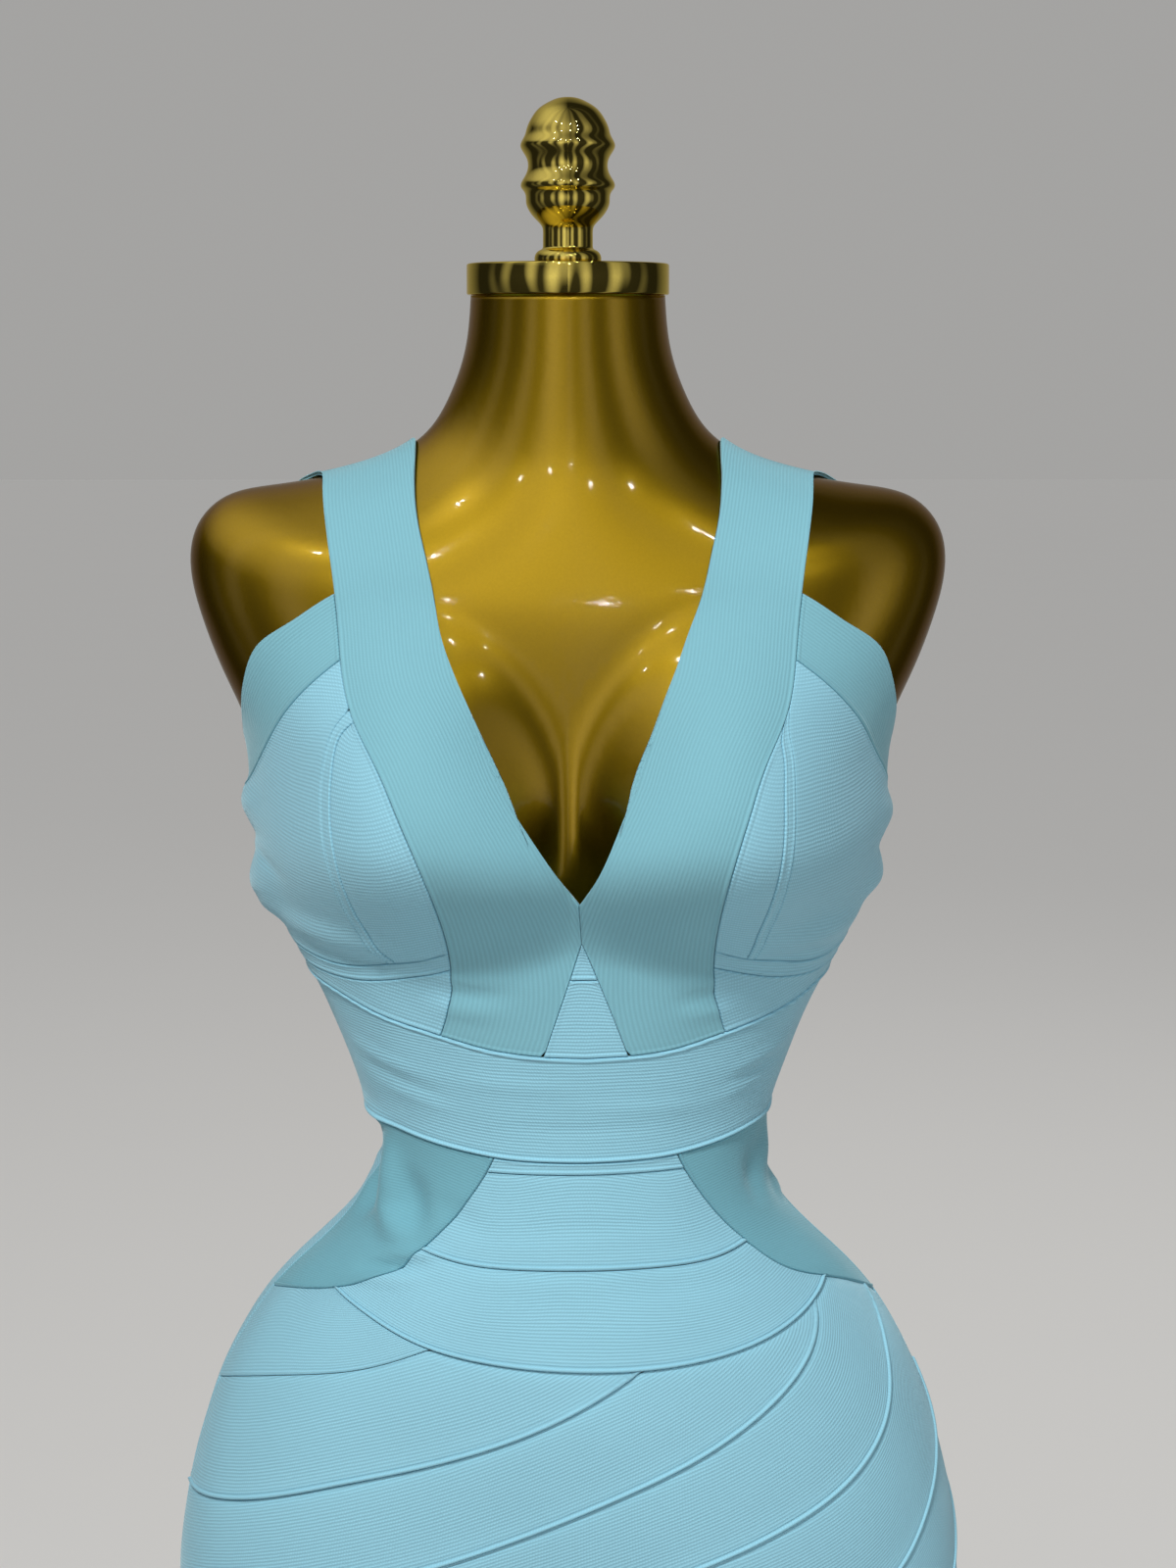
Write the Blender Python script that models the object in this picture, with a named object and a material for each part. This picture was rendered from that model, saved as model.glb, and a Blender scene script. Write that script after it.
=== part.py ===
"""Bodycon dress on a limbless dress form with a pole stand.

Metres, +Z up, the front faces -Y, and z = 0 is the underside of the round base.
The form and the dress share one figure: rings whose height changes round the body, so that they
follow the shoulders. A place on it is (turn, drop): degrees round from centre front towards +X,
and millimetres down the figure from the top of the neck.
Every piece of the dress is the area inside its seams, as a closed wall of one thickness.
"""
import math

import bmesh
import bpy
import numpy as np
from mathutils.geometry import delaunay_2d_cdt

MM = 0.001

# Cloth and clearances
CLOTH_OUT = 1.3 * MM
CLOTH_IN = -0.2 * MM
FORM_IN = 1.2 * MM
FORM_IN_CHEST = 0.7 * MM
FORM_IN_HIPS = 2.5 * MM
FORM_IN_WAIST = 8.0 * MM
SEAM_GAP = 0.3 * MM
SEAM_STEP = 24.0
TIGHT_STEP = 15.0
BODICE_STEP = 17.0
SKIRT_STEP = 27.0
MM_PER_DEGREE = 2.3

# Form, cap and stand
FORM_SIDES = 48
FORM_RINGS = 54
FORM_BOTTOM_DROP = 1195.0
SEAT_GAP = 0.2 * MM
LATHE_SIDES = 36

# Rings of the figure: height at the side, front and back, half width, depth ahead of and behind
# the body's axis, and the power of the rounded section (2 is an ellipse).
FIGURE_COLUMNS = ("side", "front", "back", "wide", "ahead", "behind", "square")
FIGURE = (
    ("neck_top", 1.432, 1.432, 1.432, 0.0495, 0.0495, 0.0495, 2.00),
    ("neck", 1.408, 1.404, 1.408, 0.0520, 0.0515, 0.0530, 2.00),
    ("neck_low", 1.384, 1.374, 1.388, 0.0600, 0.0545, 0.0600, 2.00),
    ("neck_root", 1.3655, 1.350, 1.370, 0.0720, 0.0590, 0.0680, 2.00),
    ("collar", 1.353, 1.330, 1.353, 0.0920, 0.0650, 0.0770, 2.05),
    ("shoulder_in", 1.3445, 1.312, 1.337, 0.1200, 0.0710, 0.0850, 2.15),
    ("shoulder", 1.340, 1.297, 1.322, 0.1480, 0.0760, 0.0900, 2.25),
    ("cap_top", 1.334, 1.284, 1.306, 0.1730, 0.0800, 0.0935, 2.35),
    ("cap_edge", 1.320, 1.272, 1.290, 0.1870, 0.0830, 0.0955, 2.40),
    ("cap_out", 1.302, 1.259, 1.272, 0.1910, 0.0855, 0.0970, 2.40),
    ("cap_low", 1.275, 1.240, 1.248, 0.1860, 0.0880, 0.0985, 2.40),
    ("arm_low", 1.245, 1.220, 1.225, 0.1750, 0.0900, 0.0990, 2.35),
    ("armpit", 1.215, 1.200, 1.200, 0.1630, 0.0915, 0.0985, 2.30),
    ("bust", 1.175, 1.170, 1.170, 0.1600, 0.0920, 0.0960, 2.25),
    ("under_bust", 1.130, 1.128, 1.128, 0.1500, 0.0920, 0.0900, 2.20),
    ("ribs", 1.090, 1.090, 1.090, 0.1290, 0.0895, 0.0820, 2.15),
    ("ribs_low", 1.050, 1.050, 1.050, 0.1120, 0.0860, 0.0750, 2.10),
    ("waist", 1.005, 1.005, 1.005, 0.1005, 0.0820, 0.0700, 2.10),
    ("waist_low", 0.975, 0.975, 0.975, 0.1060, 0.0860, 0.0750, 2.10),
    ("hip_top", 0.935, 0.935, 0.935, 0.1430, 0.0960, 0.0930, 2.10),
    ("hip_high", 0.890, 0.890, 0.890, 0.1750, 0.1040, 0.1160, 2.15),
    ("hip", 0.840, 0.840, 0.840, 0.1930, 0.1070, 0.1350, 2.20),
    ("seat", 0.785, 0.785, 0.785, 0.2030, 0.1060, 0.1420, 2.25),
    ("seat_low", 0.735, 0.735, 0.735, 0.2040, 0.1030, 0.1360, 2.25),
    ("thigh", 0.680, 0.680, 0.680, 0.1970, 0.0990, 0.1200, 2.20),
    ("thigh_low", 0.620, 0.620, 0.620, 0.1850, 0.0950, 0.1080, 2.15),
    ("knee_high", 0.560, 0.560, 0.560, 0.1740, 0.0920, 0.1000, 2.10),
    ("hem", 0.500, 0.500, 0.500, 0.1660, 0.0900, 0.0950, 2.10),
)
BUST_X = 0.082
BUST_Z = 1.176
BUST_WIDE = 0.088
BUST_UP = 0.115
BUST_DOWN = 0.072
BUST_OUT = 0.052
FORM_BUST_OUT = 0.0475
VALLEY_FILL = 0.45

# The dress hangs turned a little round the figure, more towards the hips.
LEAN_DEGREES = 5.5
LEAN_FROM, LEAN_TO = 300.0, 750.0

# Junctions of the seams (turn, drop). One side of the bodice and hips; the other is its mirror.
SPOTS = {
    "v_foot": (0, 479), "gusset_tip": (0, 511), "gusset_step": (2.8, 541), "gusset_foot": (10, 600),
    "strap_in": (90, 118), "strap_out": (90, 180), "neck_back": (180, 272), "yoke_back": (180, 346),
    "arm_top": (35, 257), "arm_foot": (33, 303), "cup_foot": (25.5, 518),
    "tape_foot": (26.4, 534), "band_foot": (34, 587),
    "dart_top_in": (32.9, 347), "dart_top_out": (33.1, 338),
    "dart_foot_in": (33.2, 527.5), "dart_foot_out": (35, 529),
    "left_dart_foot_in": (38.2, 531.5), "left_dart_foot_out": (40, 532.6),
    "arm_back": (134, 297), "arm_back_foot": (153, 336),
    "arm_under": (90, 396), "side_arm": (90, 428), "side_cup": (90, 528), "side_tape": (90, 541),
    "side_band": (90, 553), "side_waist": (90, 661),
    "band_back": (180, 560), "waist_back": (180, 668), "waist_mid": (0, 679),
    "hip_start": (26, 677), "strip_end": (28.5, 688), "hip_a": (44.2, 750), "hip_b": (61.3, 794),
    "hip_c": (80, 819), "side_hip": (90, 832),
    "left_hip": (90, 818),
    "ridge_1": (-31, 826), "ridge_2": (7, 839.5), "ridge_3": (51, 804.5),
    "left_1": (-90, 893), "left_2": (-90, 975), "left_3": (-90, 1062), "left_4": (-90, 1140),
    "left_5": (-90, 1204), "left_6": (-90, 1262), "left_7": (-90, 1322),
    "right_5": (90, 893), "right_6": (90, 985), "right_7": (90, 1095),
    "left_band": (-90, 1391), "right_band": (90, 1391), "back_band": (180, 1391),
    "left_hem": (-90, 1427), "right_hem": (90, 1427), "back_hem": (180, 1427),
}

# Seams: junctions and the rounded places between them that give each line its sweep.
SEAMS = {
    "neck_edge": ("v_foot", (4, 455), (8, 422), (11.5, 380), (14, 336), (16.7, 285), (19.5, 252),
                  (29, 198), (51, 145), "strap_in", (118, 146), (143, 200), (163, 252), "neck_back"),
    "neck_seam": ("band_foot", (28.5, 557), "tape_foot", "cup_foot", (24.9, 482), (27, 440),
                  (30, 405), (32, 367), "dart_top_in", "dart_top_out", "arm_foot", "arm_top",
                  (43, 224), "strap_out",
                  (113, 206), (128, 250), "arm_back", (143, 318), "arm_back_foot", (168, 343),
                  "yoke_back"),
    "centre": ("v_foot", "gusset_tip"),
    "gusset_side": ("gusset_tip", "gusset_step", "gusset_foot"),
    "gusset_step": ("gusset_step", (0, 541)),
    "dart_in": ("dart_top_in", (33.0, 358), (34.6, 375), (35.9, 402), (36.0, 426), (35.4, 448),
                (34.5, 471), (33.6, 501), "dart_foot_in"),
    "dart_out": ("dart_top_out", (34.3, 357), (36.4, 375), (38.1, 402), (38.3, 427), (37.7, 449),
                 (36.9, 473), (36.0, 503), "dart_foot_out"),
    "left_dart_in": ("dart_top_in", (35.9, 358), (38.6, 373), (42.0, 402), (42.8, 426),
                     (42.4, 448), (42.0, 471), (41.1, 502), "left_dart_foot_in"),
    "left_dart_out": ("dart_top_out", (37.4, 357), (40.4, 373), (44.4, 402), (45.3, 427),
                      (44.9, 449), (44.4, 473), (43.3, 504), "left_dart_foot_out"),
    "arm_edge": ("arm_top", (41.5, 286), (48.5, 308), (56.5, 338), (69, 372), "arm_under",
                 (110, 378), (125, 338), "arm_back"),
    "arm_seam": ("arm_foot", (43.8, 343), (55.5, 377), (70, 408), "side_arm", (112, 418),
                 (132, 382), "arm_back_foot"),
    "cup_seam": ("cup_foot", "dart_foot_in", "dart_foot_out", "left_dart_foot_in",
                 "left_dart_foot_out", (47, 537), (57, 539), (73, 534), "side_cup"),
    "tape_seam": ("tape_foot", (40.5, 546), (51, 550), (67, 549), "side_tape"),
    "band_top": ("gusset_foot", (22, 596), "band_foot", (51, 575), (65, 562), "side_band",
                 (130, 553), "band_back"),
    "band_top_mid": ("gusset_foot", (0, 601)),
    "waist_seam": ("waist_mid", "hip_start", (45, 671), (62, 666), "side_waist", (130, 662),
                   "waist_back"),
    "strip_seam": ((0, 688), "strip_end"),
    "hip_seam": ("hip_start", "strip_end", (35.3, 713), "hip_a", (50.4, 777), "hip_b", "hip_c",
                 "side_hip"),
    "left_hip_seam": ("hip_start", "strip_end", (35.3, 713), "hip_a", (50.4, 776), "hip_b",
                      (75, 806), "left_hip"),
    "belly_seam": ((0, 758), (14.4, 758), (32.6, 756), "hip_a"),
    "back_seam": ("yoke_back", "band_back", "waist_back", "back_band", "back_hem"),
    "neck_back_seam": ("neck_back", "yoke_back"),
    "side_seam": ("side_arm", "side_cup", "side_tape", "side_band", "side_waist"),
    "ridge": ("-hip_b", (-47.5, 807), "ridge_1", (-16, 836), "ridge_2", (19, 835), (33, 824),
              "ridge_3", "hip_b"),
    "wrap_1": ("left_1", (-73, 876), (-57, 861), (-42, 846), "ridge_1"),
    "wrap_2": ("left_2", (-74, 969), (-57, 955), (-40, 931), (-18, 898), (-2, 864), "ridge_2"),
    "wrap_3": ("left_3", (-60, 1037), (-24, 985), (-3, 943), (16, 903), (33, 861), (44, 830),
               "ridge_3"),
    "wrap_4": ("left_4", (-62, 1110), (-24, 1050), (14, 986), (38, 941), (52, 904), (63, 863),
               (73, 833), "hip_c"),
    "wrap_5": ("left_5", (-62, 1174), (-25, 1122), (10, 1075), (48, 1010), (60, 973), (75, 936),
               "right_5"),
    "wrap_6": ("left_6", (-60, 1232), (-22, 1183), (14, 1137), (50, 1079), (72, 1030), "right_6"),
    "wrap_7": ("left_7", (-60, 1298), (-20, 1252), (20, 1203), (54, 1158), (75, 1123), "right_7"),
    "left_seam": ("-side_waist", "-left_hip", "left_1", "left_2", "left_3", "left_4", "left_5",
                  "left_6", "left_7", "left_band", "left_hem"),
    "right_seam": ("side_waist", "side_hip", "right_5", "right_6", "right_7", "right_band",
                   "right_hem"),
    "hem_seam": ("left_band", (0, 1391), "right_band", "back_band"),
    "hem_edge": ("left_hem", (0, 1427), "right_hem", "back_hem"),
}

# Profiles turned round the axis: radius and height above the seat, both in mm.
CAP_PROFILE = ((48.6, 0.0), (50.2, 0.5), (50.4, 2.0), (49.7, 3.0), (49.7, 14.6), (48.8, 15.5))
FINIAL_PROFILE = (
    (16.0, 0.0), (16.6, 3.0), (15.0, 6.2), (12.4, 7.8), (12.2, 17.4), (13.6, 19.8), (18.2, 25.0),
    (20.6, 31.4), (21.2, 34.8), (23.0, 38.0), (22.8, 41.6), (19.8, 45.8), (19.3, 49.2), (20.2, 52.6),
    (23.3, 56.0), (23.2, 59.4), (20.8, 62.2), (20.4, 66.6), (18.8, 71.4), (15.0, 76.2), (9.0, 79.4),
    (3.0, 80.5),
)
BASE_PROFILE = ((177.0, 0.0), (180.0, 1.5), (180.0, 4.5), (178.0, 6.0))
POLE_FOOT = ((38.0, 0.0), (38.0, 4.0), (20.0, 9.0), (16.0, 30.0), (14.0, 33.0))
POLE_HEAD = ((14.0, 33.0), (16.0, 30.0), (20.0, 9.0), (38.0, 4.0), (38.0, 0.0))


def natural_bend(t, y):
    """Second derivatives of the natural cubic spline through the rows of y at places t."""
    n = len(t)
    h = np.diff(t)
    a = np.eye(n)
    r = np.zeros_like(y)
    for i in range(1, n - 1):
        a[i, i - 1:i + 2] = h[i - 1], 2 * (h[i - 1] + h[i]), h[i]
        r[i] = 6 * ((y[i + 1] - y[i]) / h[i] - (y[i] - y[i - 1]) / h[i - 1])
    return np.linalg.solve(a, r)


def spline(t, y, bend, at):
    """Rows of the natural cubic spline at the places given."""
    at = np.clip(np.asarray(at, float), t[0], t[-1])
    i = np.clip(np.searchsorted(t, at, side="right") - 1, 0, len(t) - 2)
    h = (t[i + 1] - t[i])[..., None]
    u = (t[i + 1] - at)[..., None] / h
    v = 1 - u
    return u * y[i] + v * y[i + 1] + ((u**3 - u) * bend[i] + (v**3 - v) * bend[i + 1]) * h * h / 6


RINGS = np.array([row[1:] for row in FIGURE])
RING_STEPS = np.linalg.norm(np.diff(RINGS[:, [0, 1, 3, 4]], axis=0), axis=1)
RING_DROPS = np.concatenate([[0], np.cumsum(RING_STEPS)]) / MM
RING_BEND = natural_bend(RING_DROPS, RINGS)


def ease(x, low, high):
    t = np.clip((x - low) / (high - low), 0, 1)
    return t * t * (3 - 2 * t)


def figure(turn, drop, dressed):
    """Point of the figure. Dressed, the valley is filled where cloth spans it."""
    turn, drop = np.broadcast_arrays(np.asarray(turn, float), np.asarray(drop, float))
    ring = spline(RING_DROPS, RINGS, RING_BEND, drop)
    side, front, back, wide, ahead, behind, square = np.moveaxis(ring, -1, 0)
    sine, cosine = np.sin(np.radians(turn)), np.cos(np.radians(turn))
    reach = (np.abs(sine) ** square + np.abs(cosine) ** square) ** (-1 / square)
    x = wide * sine * reach
    y = -np.where(cosine > 0, ahead, behind) * cosine * reach
    z = side + (np.where(cosine > 0, front, back) - side) * cosine**2
    fill = VALLEY_FILL * (1 - ease(z, 1.150, 1.235)) if dressed else 0.0
    across = np.abs(np.abs(x) - BUST_X) / BUST_WIDE
    across = np.where(np.abs(x) < BUST_X, across * (1 - fill), across)
    along = (z - BUST_Z) / np.where(z > BUST_Z, BUST_UP, BUST_DOWN)
    mound = np.clip(1 - across**2 - along**2, 0, 1) ** 2 * ease(cosine, -0.15, 0.35)
    out = BUST_OUT if dressed else FORM_BUST_OUT
    return np.stack([x, y - out * mound, z], axis=-1)


def figure_normal(turn, drop, dressed):
    step = 0.05
    along = figure(turn + step, drop, dressed) - figure(turn - step, drop, dressed)
    down = figure(turn, drop + step * 4, dressed) - figure(turn, drop - step * 4, dressed)
    normal = np.cross(down, along)
    return normal / np.linalg.norm(normal, axis=-1, keepdims=True)


def worn(turn, drop):
    """The turn at which a place of the dress really lies, as the dress leans round."""
    return turn + LEAN_DEGREES * ease(drop, LEAN_FROM, LEAN_TO)


def spot(name):
    if not isinstance(name, str):
        return name
    if name.startswith("-"):
        turn, drop = SPOTS[name[1:]]
        return -turn, drop
    return SPOTS[name]


def sampled_seam(points, step):
    """The seam as (turn, drop) samples, with the sample number of each of its points."""
    place = np.array([spot(p) for p in points], float)
    flat = place * (MM_PER_DEGREE, 1)
    chords = np.linalg.norm(np.diff(flat, axis=0), axis=1)
    t = np.concatenate([[0], np.cumsum(chords)])
    bend = natural_bend(t, flat)
    samples, marks = [flat[0]], [0]
    for i, chord in enumerate(chords):
        parts = max(1, round(chord / step))
        for k in range(1, parts + 1):
            samples.append(spline(t, flat, bend, t[i] + chord * k / parts))
        marks.append(len(samples) - 1)
    return np.array(samples) / (MM_PER_DEGREE, 1), {str(p): m for p, m in zip(points, marks)}


TIGHT_SEAMS = ("neck_edge", "neck_seam", "arm_edge", "arm_seam", "dart_in", "dart_out",
               "left_dart_in", "left_dart_out")
SAMPLED = {name: sampled_seam(points, TIGHT_STEP if name in TIGHT_SEAMS else SEAM_STEP)
           for name, points in SEAMS.items()}


def run(seam, start, end):
    """The samples of a seam from one of its points to another, in that order."""
    samples, marks = SAMPLED[seam]
    first, last = marks[str(start)], marks[str(end)]
    return samples[first:last + 1] if first <= last else samples[last:first + 1][::-1]


def mirrored(line):
    return np.asarray(line) * (-1, 1)


def outline(*runs):
    """Joins runs end to end into one closed outline."""
    points = []
    for line in runs:
        for place in line:
            if not points or np.linalg.norm(np.subtract(points[-1], place)) > 1e-6:
                points.append(tuple(place))
    if np.linalg.norm(np.subtract(points[0], points[-1])) < 1e-6:
        points.pop()
    area = sum(a[0] * b[1] - b[0] * a[1] for a, b in zip(points, points[1:] + points[:1]))
    return points if area > 0 else points[::-1]


def within(flat, place):
    """Whether a place is inside an outline, and its distance from it."""
    ends = np.roll(flat, -1, axis=0)
    edge = ends - flat
    to = np.asarray(place) - flat
    t = np.clip((to * edge).sum(1) / (edge * edge).sum(1), 0, 1)
    near = np.linalg.norm(to - edge * t[:, None], axis=1).min()
    spans = (flat[:, 1] > place[1]) != (ends[:, 1] > place[1])
    rise = np.where(spans, edge[:, 1], 1)
    crossed = place[0] < flat[:, 0] + (place[1] - flat[:, 1]) / rise * edge[:, 0]
    return (spans & crossed).sum() % 2 == 1, near


def inner_grid(flat, step):
    """Grid places inside an outline, no nearer to it than about half a step."""
    low, high = flat.min(axis=0), flat.max(axis=0)
    counts = np.maximum(1, np.round((high - low) / step)).astype(int)
    kept = []
    for row in range(counts[1]):
        for column in range(counts[0]):
            place = low + (np.array([column, row]) + 0.5) * (high - low) / counts
            inside, near = within(flat, place)
            if inside and near > 0.55 * step:
                kept.append(tuple(place))
    return kept


def add_mesh(name, points, faces):
    mesh = bpy.data.meshes.new(name)
    mesh.from_pydata([tuple(map(float, p)) for p in points], [], faces)
    shape = bmesh.new()
    shape.from_mesh(mesh)
    bmesh.ops.recalc_face_normals(shape, faces=shape.faces)
    shape.to_mesh(mesh)
    shape.free()
    bpy.context.scene.collection.objects.link(bpy.data.objects.new(name, mesh))


def add_panel(name, points, step):
    """One piece of the dress: the wall over the area inside its seams, half a gap inside them."""
    edge_count = len(points)
    flat = np.array(points) * (MM_PER_DEGREE, 1)
    places = [tuple(p) for p in flat] + inner_grid(flat, step)
    out = delaunay_2d_cdt(places, [], [list(range(edge_count))], 1, 1e-7, True)
    origin = [ids[0] for ids in out[3]]
    where = np.array([places[i] for i in origin]) / (MM_PER_DEGREE, 1)
    turn = worn(where[:, 0], where[:, 1])
    skin = figure(turn, where[:, 1], True)
    normal = figure_normal(turn, where[:, 1], True)
    index = {source: i for i, source in enumerate(origin)}
    ring = [index[i] for i in range(edge_count)]
    rim = skin[ring]
    ahead = np.roll(rim, -1, axis=0) - rim
    ahead /= np.linalg.norm(ahead, axis=1, keepdims=True)
    before = np.roll(ahead, 1, axis=0)
    side_1 = np.cross(normal[ring], before)
    side_2 = np.cross(normal[ring], ahead)
    mitre = np.maximum(1 + (side_1 * side_2).sum(1, keepdims=True), 0.25)
    centre = skin.mean(axis=0)
    inward = (side_1 + side_2) / mitre
    if ((centre - rim) * inward).sum() < 0:
        inward = -inward
    skin[ring] += inward * SEAM_GAP / 2
    top = skin + normal * CLOTH_OUT
    under = skin + normal * CLOTH_IN
    count = len(skin)
    flat_where = where * (MM_PER_DEGREE, 1)
    faces = [tuple(f) for f in out[2] if within(flat, flat_where[list(f)].mean(axis=0))[0]]
    shell = faces + [tuple(i + count for i in reversed(f)) for f in faces]
    for a, b in zip(ring, ring[1:] + ring[:1]):
        shell.append((a, b, b + count, a + count))
    add_mesh(name, np.concatenate([top, under]), shell)


def add_pair(name, points, step):
    add_panel(name + "_right", points, step)
    add_panel(name + "_left", outline(mirrored(points)), step)


def cups(darts, side, turned_to):
    """The two parts of one cup and the tape over the seam between them."""
    inner, outer = darts + "dart_in", darts + "dart_out"
    foot_in, foot_out = darts + "dart_foot_in", darts + "dart_foot_out"
    add_panel("cup_inner" + side, turned_to(outline(
        run("neck_seam", "dart_top_in", "cup_foot"), run("cup_seam", "cup_foot", foot_in),
        run(inner, foot_in, "dart_top_in"),
    )), BODICE_STEP)
    add_panel("cup_tape" + side, turned_to(outline(
        run(inner, "dart_top_in", foot_in), run("cup_seam", foot_in, foot_out),
        run(outer, foot_out, "dart_top_out"), run("neck_seam", "dart_top_out", "dart_top_in"),
    )), BODICE_STEP)
    add_panel("cup_outer" + side, turned_to(outline(
        run("neck_seam", "arm_foot", "dart_top_out"), run(outer, "dart_top_out", foot_out),
        run("cup_seam", foot_out, "side_cup"), run("side_seam", "side_cup", "side_arm"),
        run("arm_seam", "side_arm", "arm_foot"),
    )), BODICE_STEP)


def bodice():
    add_pair("neckline_band", outline(
        run("neck_edge", "v_foot", "neck_back"), run("neck_back_seam", "neck_back", "yoke_back"),
        run("neck_seam", "yoke_back", "band_foot"), run("band_top", "band_foot", "gusset_foot"),
        run("gusset_side", "gusset_foot", "gusset_tip"), run("centre", "gusset_tip", "v_foot"),
    ), BODICE_STEP)
    upper = run("gusset_side", "gusset_tip", "gusset_step")
    add_panel("gusset_top", outline(upper, mirrored(upper)[::-1]), BODICE_STEP)
    lower = np.concatenate([run("gusset_side", "gusset_step", "gusset_foot"),
                            run("band_top_mid", "gusset_foot", (0, 601))])
    add_panel("gusset_bottom", outline(lower, mirrored(lower)[::-1]), BODICE_STEP)
    cups("", "_right", lambda points: points)
    cups("left_", "_left", lambda points: outline(mirrored(points)))
    add_pair("armhole_band", outline(
        run("arm_edge", "arm_top", "arm_back"), run("neck_seam", "arm_back", "arm_back_foot"),
        run("arm_seam", "arm_back_foot", "arm_foot"), run("neck_seam", "arm_foot", "arm_top"),
    ), BODICE_STEP)
    add_pair("underbust_tape", outline(
        run("cup_seam", "cup_foot", "side_cup"), run("side_seam", "side_cup", "side_tape"),
        run("tape_seam", "side_tape", "tape_foot"), run("neck_seam", "tape_foot", "cup_foot"),
    ), BODICE_STEP)
    add_pair("underbust_side", outline(
        run("tape_seam", "tape_foot", "side_tape"), run("side_seam", "side_tape", "side_band"),
        run("band_top", "side_band", "band_foot"), run("neck_seam", "band_foot", "tape_foot"),
    ), BODICE_STEP)
    add_pair("back_bodice", outline(
        run("arm_seam", "side_arm", "arm_back_foot"),
        run("neck_seam", "arm_back_foot", "yoke_back"),
        run("back_seam", "yoke_back", "band_back"), run("band_top", "band_back", "side_band"),
        run("side_seam", "side_band", "side_arm"),
    ), SKIRT_STEP)


def waist():
    top = np.concatenate([run("band_top_mid", (0, 601), "gusset_foot"),
                          run("band_top", "gusset_foot", "side_band")])
    foot = run("waist_seam", "waist_mid", "side_waist")
    side = run("side_seam", "side_band", "side_waist")
    add_panel("waist_band_front", outline(
        mirrored(top)[::-1], top, side, foot[::-1], mirrored(foot), mirrored(side)[::-1],
    ), BODICE_STEP)
    add_pair("waist_band_back", outline(
        run("band_top", "side_band", "band_back"), run("back_seam", "band_back", "waist_back"),
        run("waist_seam", "waist_back", "side_waist"), run("side_seam", "side_waist", "side_band"),
    ), SKIRT_STEP)
    strip_top = run("waist_seam", "waist_mid", "hip_start")
    strip_side = run("hip_seam", "hip_start", "strip_end")
    left_strip_side = mirrored(run("left_hip_seam", "hip_start", "strip_end"))
    strip = run("strip_seam", (0, 688), "strip_end")
    add_panel("waist_strip", outline(
        strip_top, strip_side, strip[::-1], mirrored(strip), left_strip_side[::-1],
        mirrored(strip_top)[::-1],
    ), BODICE_STEP)
    belly_side = run("hip_seam", "strip_end", "hip_a")
    left_belly_side = mirrored(run("left_hip_seam", "strip_end", "hip_a"))
    belly = run("belly_seam", (0, 758), "hip_a")
    add_panel("belly_panel", outline(
        strip, belly_side, belly[::-1], mirrored(belly), left_belly_side[::-1],
        mirrored(strip)[::-1],
    ), BODICE_STEP)
    add_panel("lower_belly_panel", outline(
        belly, run("hip_seam", "hip_a", "hip_b"), run("ridge", "hip_b", "-hip_b"),
        mirrored(run("left_hip_seam", "hip_b", "hip_a")),
        mirrored(belly)[::-1],
    ), BODICE_STEP)
    hip_top = run("waist_seam", "hip_start", "side_waist")
    add_panel("side_hip_right", outline(
        hip_top, run("right_seam", "side_waist", "side_hip"),
        run("hip_seam", "side_hip", "hip_start"),
    ), BODICE_STEP)
    add_panel("side_hip_left", outline(
        mirrored(hip_top), run("left_seam", "-side_waist", "-left_hip"),
        mirrored(run("left_hip_seam", "left_hip", "hip_start")),
    ), BODICE_STEP)
    add_panel("hip_panel", outline(
        mirrored(run("left_hip_seam", "hip_b", "left_hip")),
        run("left_seam", "-left_hip", "left_1"),
        run("wrap_1", "left_1", "ridge_1"), run("ridge", "ridge_1", "-hip_b"),
    ), SKIRT_STEP)


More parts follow.
